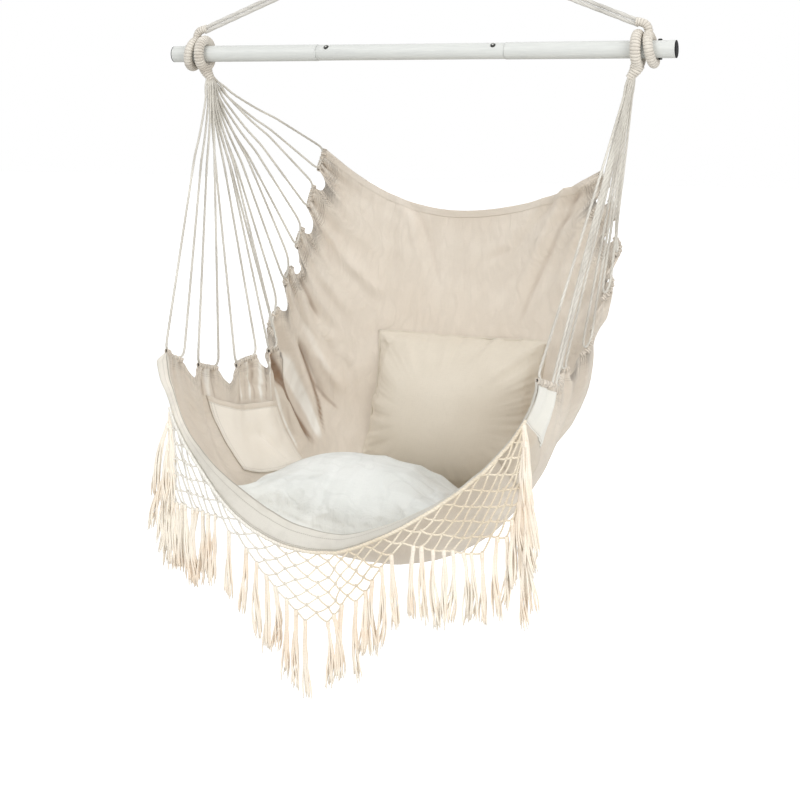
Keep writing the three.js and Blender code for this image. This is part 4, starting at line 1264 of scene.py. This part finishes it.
tapeValues = {"u": (0.63, 0.972), "v": (0.03, 0.90, 0.34), "seam": 0.44, "stand": 0.0024,
              "slit": 0.006, "ripple": 0.0008, "dent": 0.0012, "columns": 48, "rows": 36,
              "flat": (0.17, 0.11), "thickness": 0.0011}


# Sewn flat above its seam; the lower part is loose and stands off at the back
def tapePlace(across, along):
    low, high = tapeValues["u"]
    front, back, more = tapeValues["v"]
    u = low + (high - low) * across
    v = front + (back - front + more * (1 - across)) * along
    ripple = tapeValues["ripple"] * math.sin(9 * across + 4 * along)
    loose = tapeValues["slit"] * ease(0.6, 1, along) * (1 - ease(0.3, tapeValues["seam"], across))
    dent = tapeValues["dent"] * math.exp(-((across - tapeValues["seam"]) / 0.025) ** 2)
    return clothAt(u, v, -(tapeValues["stand"] + ripple + loose - dent))


tape = addSheet("arm_tape", tapeValues, tapePlace, "tape", "arm_tape")
print("pocket and tape sewn")


# Net with its knots, header cord and tassels

net = {"columns": 22, "rows": 14, "rowHeight": 0.0125, "ends": (-0.76, 0.78), "strand": 0.00165,
       "hang": (0, -0.0030, -0.003), "knot": 0.0029, "stretch": (1.25, 0.8, 0.95, 1), "sag": 0.0024,
       "bow": 0.0008, "lean": 0.0015, "shake": 0.0024, "seed": 3, "cell": 0.022,
       "depth": [(0, 6.2), (0.03, 7.2), (0.12, 4.6), (0.18, 3.3), (0.24, 3), (0.31, 4.4), (0.37, 5.9),
                 (0.47, 6.9), (0.57, 5), (0.64, 3.5), (0.69, 2.5), (0.75, 3.4), (0.84, 5.8),
                 (0.94, 6.5), (1, 4.8)]}
netDice = random.Random(net["seed"])


def netShareToU(share):
    low, high = net["ends"]
    return low + (high - low) * share


# The net hangs from the flap's outer edge and ends where the hem alone would let it end
def netDepth(share):
    deep = readPairs(net["depth"], share) * net["cell"] - flapWidth(netShareToU(share))
    return deep / net["rowHeight"]


def hemEdge(share):
    return flapPoint(netShareToU(share), 1)


knots = {}
for row in range(net["rows"]):
    for column in range(net["columns"] + 1 - row % 2):
        share = (column + (row % 2) / 2) / net["columns"]
        above = (column, column + 1) if row % 2 else (column - 1, column)
        held = row == 0 or any((place, row - 1) in knots for place in above)
        if held and row <= netDepth(share):
            shake = [netDice.uniform(-1, 1) * net["shake"] * min(row, 1) for axis in range(3)]
            down = Vector(net["hang"]) - Vector((0, 0, row * net["rowHeight"]))
            knots[column, row] = hemEdge(share) + down + Vector((shake[0], shake[1] * 0.6, shake[2]))

bm = bmesh.new()
tasselPlaces = []
for (column, row), place in knots.items():
    lower = [(column - 1 + row % 2, row + 1), (column + row % 2, row + 1)]
    found = [key for key in lower if key in knots]
    if len(found) < 2:
        tasselPlaces.append(place)
    for key in found:
        sag = net["sag"] * netDice.uniform(0.3, 1.1)
        lean = netDice.uniform(-1, 1) * net["lean"]
        line = []
        for step in range(7):
            share = step / 6
            bow = 4 * share * (1 - share)
            aside = Vector((lean * bow, -net["bow"] * bow, -sag * bow * 0.6))
            line.append(place.lerp(knots[key], share) + aside)
        addTube(bm, line, roundTube(net["strand"]), 6)
    knot = bmesh.ops.create_uvsphere(bm, u_segments=8, v_segments=5, radius=net["knot"])["verts"]
    turn = Matrix.Rotation(netDice.uniform(0, math.pi), 4, "Y")
    turn = Matrix.Translation(place) @ turn @ Matrix.Diagonal(net["stretch"])
    bmesh.ops.transform(bm, matrix=turn, verts=knot)
netPiece = addPiece("fringe_net", bm, "seat", "net", "fringe_net")

# Header cord along the hem's edge, sewn on with small loops
header = {"radius": 0.0029, "strands": 2, "pitch": 0.014, "depth": 0.22, "sides": 12, "steps": 240,
          "step": 0.0035, "hang": (0, -0.0040, -0.0015), "every": 4, "ring": 0.0031, "lead": 0.0028,
          "thread": 0.0007}
line = [hemEdge(-0.01 + 1.02 * step / header["steps"]) + Vector(header["hang"])
        for step in range(header["steps"] + 1)]
line = evenly(line, header["step"])
bm = bmesh.new()
addTube(bm, line, laid(header), header["sides"])
for place in range(header["every"], len(line) - header["every"], header["every"]):
    along = (line[place + 2] - line[place - 2]).normalized()
    side = Vector((0, 1, 0))
    up = along.cross(side).normalized()
    ring = []
    for step in range(9):
        angle = 2 * math.pi * step / 8
        out = (side * math.cos(angle) + up * math.sin(angle)) * header["ring"]
        ring.append(line[place] + out + along * (header["lead"] * (step / 8 - 0.5)))
    addTube(bm, ring, roundTube(header["thread"]), 5)
headerPiece = addPiece("net_header", bm, "seat", "net")

tassel = {"length": 0.122, "vary": 0.014, "yarns": 9, "yarn": 0.00155, "spread": 0.0082, "rows": 12,
          "sides": 6, "curl": 0.006, "wander": 0.0012, "front": -0.344, "seed": 21,
          "knot": (0.0036, 0.0022, 0.16), "knotHeight": 0.008, "count": 9, "lean": 0.026,
          "sway": (0.010, 0.004), "turn": 0.3, "out": (0.35, 1.0), "twist": (1.2, 2.4),
          "own": (0.88, 1.02), "thin": (0.93, 0.55)}
tasselDice = random.Random(tassel["seed"])
# Both ends of the net carry a side cord with a thick row of tassels, which lean outwards
bm = bmesh.new()
leans = [0.0] * len(tasselPlaces)
for share, way, drop in ((0, -1, 0.019), (1, 1, 0.025)):
    top = hemEdge(share) + Vector(net["hang"])
    line = [top]
    for step in range(tassel["count"]):
        odd = step % 2
        line.append(top + Vector((way * (0.001 + 0.003 * odd), -0.003 * odd, -drop * step - 0.002)))
        tasselPlaces.append(line[-1])
        leans.append(way * tasselDice.uniform(0.0, tassel["lean"]))
    addTube(bm, evenly(line, 0.003), roundTube(net["strand"]), tassel["sides"])


# A yarn thins at its end
def yarnTube(own):
    start, share = tassel["thin"]
    return lambda length, angle: tassel["yarn"] * (1 - share * ease(own * start, own, length))


for place, lean in zip(tasselPlaces, leans):
    length = tassel["length"] + tasselDice.uniform(-1, 1) * tassel["vary"]
    sway = Vector([tasselDice.uniform(-1, 1) * most for most in tassel["sway"]] + [0])
    sway.x += lean
    bend = Vector((tasselDice.uniform(-1, 1), tasselDice.uniform(-0.4, 0.4), 0)) * tassel["curl"]
    for yarn in range(tassel["yarns"]):
        angle = 2 * math.pi * yarn / tassel["yarns"] + tasselDice.uniform(-tassel["turn"], tassel["turn"])
        out = tassel["spread"] * tasselDice.uniform(*tassel["out"])
        twist = tasselDice.uniform(*tassel["twist"])
        own = length * tasselDice.uniform(*tassel["own"])
        wave = tasselDice.uniform(0, 2 * math.pi)
        line = []
        for step in range(tassel["rows"] + 1):
            share = step / tassel["rows"]
            spread = out * (0.22 + 0.78 * ease(0.04, 0.9, share))
            turn = angle + twist * share
            wander = tassel["wander"] * math.sin(wave + 7 * share)
            aside = Vector((math.cos(turn), math.sin(turn) * 0.7, 0)) * spread
            drift = sway * share + bend * math.sin(math.pi * share) + Vector((wander, 0, -own * share))
            line.append(place + aside + drift)
            line[-1].y = max(line[-1].y, tassel["front"])
        addTube(bm, line, yarnTube(own), tassel["sides"])
    neck = [place + Vector((0, 0, 0.001)), place - Vector((0, 0, tassel["knotHeight"]))]
    addTube(bm, evenly(neck, 0.001), whipped(*tassel["knot"]), 10)
tasselPiece = addPiece("tassels", bm, "seat", "net")
print("net knotted", len(knots), "knots", len(tasselPlaces), "tassels")


# Cushions, blown up as cloth and left on the sling

cushions = {
    "seat_cushion": {"shrink": 0.004, "cap": 0.014, "towards": (0, 0, -1), "slot": "cushion_white",
                     "fill": 0.6, "axes": (0, 1, 2), "seed": 4, "foldScale": 15.0, "foldDepth": 0.008},
    "back_cushion": {"shrink": 0.0, "cap": 0.006, "towards": (0, 1, 0), "slot": "cushion_beige",
                     "fill": 0.65, "axes": (0, 2, 1), "seed": 9, "foldScale": 8.0, "foldDepth": 0.004},
}
blowing = {"quality": 6, "mass": 0.3, "tension_stiffness": 15, "compression_stiffness": 5,
           "shear_stiffness": 5, "bending_stiffness": 0.2, "use_pressure": True,
           "uniform_pressure_force": 4.0}
cover = {"voxel": 0.005, "frames": 20, "smoothing": 6, "rim": 0.0050, "fine": 0.0022, "broad": 0.0022}
welt = {"radius": 0.0019, "strands": 2, "pitch": 0.02, "depth": 0.08, "sides": 8, "step": 0.004,
        "places": 220}


def blowUp(obj):
    cloth = obj.modifiers.new("cloth", "CLOTH")
    for name, value in blowing.items():
        setattr(cloth.settings, name, value)
    cloth.settings.effector_weights.gravity = 0
    cloth.point_cache.frame_start = 1
    cloth.point_cache.frame_end = cover["frames"]
    for step in range(1, cover["frames"] + 1):
        scene.frame_set(step)
    applyModifiers(obj)
    scene.frame_set(1)


def makeCushion(name):
    values = cushions[name]
    towards = Vector(values["towards"])
    bm = bmesh.new()
    bm.from_mesh(nodes[name].data)
    bmesh.ops.remove_doubles(bm, verts=bm.verts, dist=1e-6)
    bm.normal_update()
    for vert in bm.verts:
        vert.co -= vert.normal * values["shrink"] * 0.4
    obj = newObject(name + "_cover", bm)
    remesh = obj.modifiers.new("remesh", "REMESH")
    remesh.mode = "VOXEL"
    remesh.voxel_size = cover["voxel"]
    applyModifiers(obj)
    with editing(obj) as bm:
        for turn in range(cover["smoothing"]):
            bmesh.ops.smooth_vert(bm, verts=bm.verts, factor=0.5, use_axis_x=True, use_axis_y=True,
                                  use_axis_z=True)
    before = [(vert.co.copy(), vert.normal.copy()) for vert in obj.data.vertices]
    blowUp(obj)
    for vert, (start, normal) in zip(obj.data.vertices, before):
        move = vert.co - start
        if move.length > values["cap"]:
            move = move.normalized() * values["cap"]
        vert.co = start + move * (1 - ease(0.2, 0.8, normal.dot(towards)))
    with editing(obj) as bm:
        bmesh.ops.subdivide_edges(bm, edges=bm.edges, cuts=1, use_grid_fill=True, smooth=0.6)
    for face in obj.data.polygons:
        face.use_smooth = True
    creaseCushion(obj, values, towards)
    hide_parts(name)
    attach(obj, name)
    return obj


# Soft creases that run in from the seam, deepest at the corners
def creaseCushion(obj, values, towards):
    first, second, rest = values["axes"]
    seed = values["seed"]
    corners = list(zip(*[vert.co for vert in obj.data.vertices]))
    middle = [(min(side) + max(side)) / 2 for side in corners]
    half = [(max(side) - min(side)) / 2 for side in corners]
    moves = []
    for vert in obj.data.vertices:
        a = (vert.co[first] - middle[first]) / half[first]
        b = (vert.co[second] - middle[second]) / half[second]
        out = (abs(a) ** 4 + abs(b) ** 4) ** 0.25
        rim = ease(0.45, 0.95, out) * (1 - ease(0.985, 1.02, out))
        way = Vector((math.cos(math.atan2(b, a)), math.sin(math.atan2(b, a)), 0))
        wave = noise.noise(way * 6.5 + Vector((0, 0, seed)))
        fine = noise.noise(way * 15 + Vector((0, 0, seed + 5 + out * 2)))
        broad = noise.noise(vert.co * 9 + Vector((seed, 0, 0)))
        fold = 0.25 - abs(noise.noise(vert.co * values["foldScale"] + Vector((0, seed, 0))))
        depth = rim * (wave * cover["rim"] + fine * cover["fine"])
        depth += broad * cover["broad"] * (1 - 0.5 * rim) + fold * values["foldDepth"]
        moves.append(vert.normal * depth * (1 - ease(-0.1, 0.5, vert.normal.dot(towards))))
    for vert, move in zip(obj.data.vertices, moves):
        vert.co += move


# The welt runs round the widest line of the cover
def makeWelt(name, obj):
    values = cushions[name]
    first, second, rest = values["axes"]
    points = [vert.co.copy() for vert in obj.data.vertices]
    middle = [sum(side) / len(points) for side in zip(*points)]
    best = {}
    for point in points:
        a, b = point[first] - middle[first], point[second] - middle[second]
        turn = (math.atan2(b, a) + math.pi) / (2 * math.pi)
        place = int(turn * welt["places"]) % welt["places"]
        reach = math.hypot(a, b)
        if place not in best or reach > best[place][0]:
            best[place] = (reach, point)
    line = [best[place][1] for place in sorted(best)]
    for turn in range(6):
        line = [(line[place - 1] + line[place] * 2 + line[(place + 1) % len(line)]) / 4
                for place in range(len(line))]
    line = evenly(line + [line[0]], welt["step"])
    line[-1] = line[0].copy()
    bm = bmesh.new()
    addTube(bm, line, laid(welt), welt["sides"], closed=True)
    return addPiece(name + "_welt", bm, name, values["slot"])


covers = {}
for name in cushions:
    obj = makeCushion(name)
    covers[name] = (obj, makeWelt(name, obj))
    print(name, "filled", len(obj.data.polygons), "faces")


# Materials

# Laid cord: strands and yarns, with painted shade in the grooves between strands; left is the tone it
# starts from on its left side
def ropeMaterial(name, colour, dark, pitch, strands=3, fuzz=0.0006, grooveShade=0.55, left=None):
    shade = Shade(name, Roughness=0.9, Sheen_Weight=0.25, Sheen_Roughness=0.5)
    around, along, rest = shade.spread(shade.uv())
    lay = (around * (strands * math.pi) - along * (math.pi / pitch)).sine().size()
    yarn = (around * (strands * 6 * math.pi) + along * (8 * math.pi / pitch)).sine().size()
    tone = shade.mix(shade.noise(14.0).ease(0.35, 0.7), colour, dark)
    if left:
        x, y, z = shade.spread(shade.place())
        tone = shade.mix(x.ease(-0.22, 0.08), left, tone)
    # Painted shade in the grooves between the strands
    tone = shade.mix((1 - lay).ease(0.55, 1.0) * grooveShade, tone, darker(dark, 0.62))
    height = lay * 0.6 + yarn * 0.25 + shade.noise(900.0, 4.0) * 0.4
    shade.set(Base_Color=tone, Normal=shade.bump(height, fuzz))
    return shade


def whippingMaterial(name, colour, dark, pitch):
    shade = Shade(name, Roughness=0.85, Sheen_Weight=0.25, Sheen_Roughness=0.5)
    around, along, rest = shade.spread(shade.uv())
    turn = along.ribs(pitch)
    twist = (around * 60 * math.pi + along * (2.0 * math.pi / pitch)).sine().size()
    tone = shade.mix(shade.noise(30.0).ease(0.35, 0.7), colour, dark)
    # Painted shade between the turns of thread
    tone = shade.mix((1 - turn).ease(0.45, 1.0) * 0.7, tone, darker(dark, 0.5))
    height = turn * 0.7 + twist * 0.25 + shade.noise(1100.0, 4.0) * 0.3
    shade.set(Base_Color=tone, Normal=shade.bump(height, 0.0006))
    return shade


def clothMaterial(name, colour, dark, pitch=0.0011, axes=None, details=None):
    shade = Shade(name, Sheen_Weight=0.18, Sheen_Roughness=0.6)
    parts = shade.spread(shade.place() if axes else shade.uv())
    across, along = [parts[axis] for axis in axes or (0, 1)]
    threads = weave(across, along, pitch)
    slub = shade.noise(1.0, 2.0, vector=shade.joined(across * 60, along * 900)) * 0.5
    cross = shade.noise(1.0, 2.0, vector=shade.joined(across * 900, along * 60)) * 0.5
    wide = shade.noise(5.0, 4.0, 0.55)
    tone = shade.mix(wide.ease(0.3, 0.75), colour, dark)
    tone = shade.mix((slub + cross).ease(0.45, 0.75) * 0.35, tone, darker(dark, 0.86))
    # Painted shade in the hollows between the threads
    tone = shade.mix((1 - threads).ease(0.5, 1.0) * 0.3, tone, darker(dark, 0.7))
    height = threads * 0.8 + (slub + cross) * 0.6
    if details:
        tone, height = details(shade, tone, height, across, along, dark)
    shade.set(Base_Color=tone, Normal=shade.bump(height, 0.00035),
              Roughness=wide.ease(0.2, 0.8) * 0.08 + 0.86)
    return shade


# Double stitching beside the hem, arcs between the notches and gathers in each tab with painted shade
# in their troughs and, on the inside of the cloth only, painted shade and highlight on the pleats
def hemDetails(shade, tone, height, across, along, dark):
    inwards, pleat, rest = shade.spread(shade.uv("edge"))
    arc, arcShare, rest = shade.spread(shade.uv("arc"))
    hem, hemShare, rest = shade.spread(shade.uv("gather"))
    rows = stitches(inwards, along, 0.010) + stitches(inwards, along, 0.0135)
    loose = shade.noise(55.0, 2.0)
    waves = (arc * (2 * math.pi / 0.0062) + loose * 4).sine() * arcShare
    pleats = (hem * (2 * math.pi / 0.0085) + loose * 5).sine() * hemShare
    # Painted shade in the troughs of the arcs and of the gathers
    low = (waves * -1).ease(0.1, 0.9) * 0.42 + (pleats * -1).ease(0.1, 0.9) * 0.36
    tone = shade.mix(low, tone, darker(dark, 0.66))
    sides = zip(shade.spread(shade.place("Normal")), wrinkle["middle"], shade.spread(shade.place()))
    inside = sum(way * (middle - place) for way, middle, place in sides).ease(-0.03, 0.03) * 0.95
    # Painted shade in the deep pleats and painted highlight on their ridges, on the inside face only
    tone = shade.mix(pleat.ease(0.0, 0.9) * inside, tone, paint(140, 108, 78))
    tone = shade.mix((pleat * -1).ease(0.0, 0.8) * inside, tone, paint(255, 252, 244))
    tone = shade.mix(rows * 0.55, tone, darker(dark, 0.72))
    # Painted shade along the thin creases where the cloth was packed flat
    packed = shade.noise(1.0, 2.0, vector=shade.joined(across * 30, along * 13)) - 0.5
    packed = packed.size().ease(0.0, 0.12)
    tone = shade.mix((1 - packed) * 0.16, tone, darker(dark, 0.8))
    return tone, height - rows * 1.2 + waves * 3.5 + pleats * 3.4 + packed * 2.2


# Gathers across the hem of every tab, with painted shade in their troughs
def casingDetails(shade, tone, height, across, along, dark):
    gathers = (along * (2 * math.pi / 0.0032) + shade.noise(120.0, 2.0) * 7).sine()
    tone = shade.mix((gathers * -1).ease(-0.2, 0.9) * 0.5, tone, darker(dark, 0.62))
    return tone, height + gathers * 2.4


# Crossing wrinkles of a loose cover, with painted shade along them
def coverDetails(shade, tone, height, across, along, dark):
    bent = shade.noise(3.0, 2.0) * 0.5
    first = shade.noise(1.0, vector=shade.joined(across * 5 + bent, along * 17, bent)) - 0.5
    second = shade.noise(12.0) - 0.5
    lines = (1 - first.size().ease(0.0, 0.05)) * 0.7 + (1 - second.size().ease(0.0, 0.035)) * 0.5
    return shade.mix(lines * 0.30, tone, darker(dark, 0.80)), height - lines * 3.0


# Double stitching inside the pocket's sewn borders and under its open one
def pocketDetails(shade, tone, height, across, along, dark):
    width, length = pocketValues["flat"]
    rows = stitches(across, along, 0.013)
    for off in (0.003, 0.008):
        rows = rows + stitches(along, across, off) + stitches(along, across, length - off)
        rows = rows + stitches(across, along, width - off)
    return shade.mix(rows * 0.6, tone, darker(dark, 0.66)), height - rows * 1.4


# The edge the flap is turned over is a dark line; a row of stitches runs along each side of it
def flapDetails(shade, tone, height, across, along, dark):
    long = band["flat"][1]
    crest = flap["innerShare"] * long
    line = 1 - (along - crest).size().ease(0.0006, 0.0022)
    rows = sum(stitches(along, across, at, 0.0036) for at in (crest - 0.006, crest + 0.010, long - 0.005))
    ripple = shade.noise(34.0)
    tone = shade.mix(1 - across.ease(0.19, 0.33), tone, paint(252, 246, 234))
    tone = shade.mix(line * 0.65 + rows * 0.4, tone, paint(128, 116, 100))
    tone = shade.mix(ripple.ease(0.5, 0.75) * 0.3, tone, darker(dark, 0.8))
    return tone, height - rows * 1.4 + ripple * 3


# A whitish upper part, a dark seam, and the cloth's own colour below it
def tapeDetails(shade, tone, height, across, along, dark):
    seam = tapeValues["seam"] * tapeValues["flat"][0]
    tone = shade.mix(1 - across.ease(seam - 0.001, seam + 0.001), tone, paint(222, 211, 194))
    line = 1 - (across - seam).size().ease(0.0005, 0.0018)
    rows = stitches(across, along, seam + 0.0045)
    tone = shade.mix(line * 0.7 + rows * 0.4, tone, paint(150, 140, 124))
    return tone, height - line * 2 - rows


def tubeMaterial():
    shade = Shade("painted_tube", Coat_Weight=0.1, Coat_Roughness=0.35)
    x, y, z = shade.spread(shade.place())
    brushed = shade.noise(1.0, vector=shade.joined(x * 25, y * 500, z * 500))
    specks = shade.noise(240.0)
    joint = (x.size() - bar["middleEnd"]).size()
    worn = (1 - joint.ease(0.0, 0.006)) * specks.ease(0.45, 0.6)
    tone = shade.mix(brushed.ease(0.3, 0.7), paint(212, 214, 210), paint(205, 207, 204))
    tone = shade.mix(worn * 0.3, tone, paint(165, 166, 163))
    # Painted shade along the underside of the bar
    under = 1 - (z - barZ).ease(-0.0158, -0.0128)
    tone = shade.mix(under * 0.15, tone, paint(150, 151, 147))
    shade.set(Base_Color=tone, Roughness=brushed * 0.12 + 0.44,
              Normal=shade.bump(brushed + specks * 0.5, 0.00004))
    return shade


def plasticMaterial():
    shade = Shade("black_plastic", Specular_IOR_Level=0.25)
    grain = shade.noise(1400.0)
    tone = shade.mix(shade.noise(60.0, 2.0).ease(0.35, 0.7), paint(14, 14, 15), paint(24, 24, 25))
    shade.set(Base_Color=tone, Roughness=grain * 0.2 + 0.6, Normal=shade.bump(grain, 0.00008))
    return shade


def steelMaterial():
    shade = Shade("spring_steel", Metallic=0.9)
    brushed = shade.noise(700.0)
    tone = shade.mix(brushed.ease(0.3, 0.7), paint(196, 196, 192), paint(166, 166, 162))
    shade.set(Base_Color=tone, Roughness=brushed * 0.15 + 0.3, Normal=shade.bump(brushed, 0.00003))
    return shade


# Snap buttons are dark round a painted highlight in the middle
def buttonMaterial():
    shade = Shade("snap_button", Metallic=0.4, Roughness=0.5)
    x, y, z = shade.spread(shade.place())
    lean = math.radians(button["lean"])
    across = x.size() - button["x"]
    along = y * math.cos(lean) + (z - barZ) * math.sin(lean)
    out = (across * across + along * along) ** 0.5
    grain = shade.noise(900.0)
    # A painted highlight in the middle, dark round it
    tone = shade.mix(out.ease(0.0013, 0.0022), paint(205, 205, 200), paint(52, 52, 50))
    tone = shade.mix(grain.ease(0.5, 0.7) * 0.4, tone, paint(110, 108, 104))
    shade.set(Base_Color=tone, Normal=shade.bump(grain, 0.00004))
    return shade


# Each finish: how it is made, its name, its tone and its darker tone, its values and its pieces
canvas = ((234, 224, 210), (224, 212, 196))
finishes = [
    (ropeMaterial, "suspension_rope", (214, 211, 204), (190, 187, 180), {"pitch": ropeSize["pitch"]},
     ropePieces),
    (ropeMaterial, "seat_cord", (222, 218, 208), (196, 191, 181),
     {"pitch": cord["pitch"], "fuzz": 0.0004}, cordPieces),
    (ropeMaterial, "net_cord", (244, 234, 214), (228, 214, 190),
     {"strands": 2, "pitch": 0.006, "fuzz": 0.0003, "grooveShade": 0.4, "left": paint(238, 235, 227)},
     [netPiece, headerPiece]),
    (ropeMaterial, "tassel_yarn", (254, 246, 232), (250, 234, 214),
     {"strands": 2, "pitch": 0.005, "fuzz": 0.0003, "grooveShade": 0.2}, [tasselPiece]),
    (whippingMaterial, "whipping_yarn", (228, 222, 211), (204, 196, 184), {"pitch": eye["pitch"]},
     [loopPiece, whipping, *eyePieces]),
    (clothMaterial, "canvas", *canvas, {"details": hemDetails}, [sling]),
    (clothMaterial, "canvas_hem", *canvas, {}, [pocketHem, backBand]),
    (clothMaterial, "canvas_gathers", *canvas, {"details": casingDetails}, casingPieces),
    (clothMaterial, "canvas_flap", (222, 218, 208), (209, 204, 193), {"details": flapDetails},
     [frontBand]),
    (clothMaterial, "canvas_pocket", (255, 249, 238), (251, 243, 230), {"details": pocketDetails},
     [pocket]),
    (clothMaterial, "plain_tape", (254, 252, 244), (248, 246, 237),
     {"pitch": 0.0008, "details": tapeDetails}, [tape]),
    (clothMaterial, "white_cover", (235, 236, 232), (224, 226, 221),
     {"pitch": 0.0012, "axes": (0, 1), "details": coverDetails}, covers["seat_cushion"]),
    (clothMaterial, "beige_cover", (226, 217, 201), (217, 207, 190),
     {"pitch": 0.0012, "axes": (0, 2)}, covers["back_cushion"]),
]
for make, name, tone, dark, values, pieces in finishes:
    finished(make(name, paint(*tone), paint(*dark), **values), *pieces)
finished(tubeMaterial(), *tubes)
finished(plasticMaterial(), *caps)
finished(buttonMaterial(), *snaps)
steel = steelMaterial()
for spring in [nodes[f"spring_{part}_{hand}"] for hand in hands for part in ("base", "leaf")]:
    for slot in spring.material_slots:
        slot.material = steel.owner

print("finishes laid on")


# Floor, world and lamps

room = {"floorZ": -1.95, "floorSize": 60.0, "world": 0.62, "floorGlow": 0.62, "aim": (0, 0, -0.85)}
lamps = {
    "key": {"place": (-1.3, -2.8, 1.4), "size": 1.6, "power": 46},
    "fill": {"place": (2.5, -1.7, 0.1), "size": 1.8, "power": 41},
    "top": {"place": (0.2, 0.3, 1.9), "size": 2.0, "power": 13},
}
white = (1, 1, 1, 1)


def rays(shade, kind):
    return shade.node("ShaderNodeLightPath", out=f"Is {kind} Ray")


bm = bmesh.new()
bmesh.ops.create_grid(bm, x_segments=1, y_segments=1, size=room["floorSize"] / 2)
bmesh.ops.translate(bm, verts=bm.verts, vec=(0, 0, room["floorZ"]))
floor = newObject("floor", bm, smooth=False)
shade = Shade("pale_floor", Roughness=0.9)
shade.set(Base_Color=shade.mix(shade.noise(3.0), paint(243, 243, 241), paint(240, 240, 239)))
glow = {"Color": white, "Strength": rays(shade, "Camera") * room["floorGlow"]}
glow = shade.node("ShaderNodeEmission", None, glow)
both = shade.node("ShaderNodeAddShader", None, {0: Wire(shade, shade.body.outputs[0]), 1: glow})
shade.join(shade.tree.nodes["Material Output"].inputs["Surface"], both)
finished(shade, floor)

scene.world = bpy.data.worlds.new("studio")
sky = Shade("studio", scene.world, "Background", Color=white)
seen = rays(sky, "Camera").math("MAXIMUM", rays(sky, "Glossy"))
seen = seen.math("MAXIMUM", rays(sky, "Transmission"))
level = {"Value": seen, "To Min": room["world"], "To Max": 1.0}
sky.set(Strength=sky.node("ShaderNodeMapRange", None, level))

for name, values in lamps.items():
    data = bpy.data.lights.new(name, "AREA")
    data.size = values["size"]
    data.energy = values["power"]
    lamp = bpy.data.objects.new(name, data)
    lamp.location = values["place"]
    way = Vector(room["aim"]) - Vector(values["place"])
    lamp.rotation_euler = way.to_track_quat("-Z", "Y").to_euler()
    scene.collection.objects.link(lamp)

scene.view_settings.view_transform = "Standard"
print("studio lit")
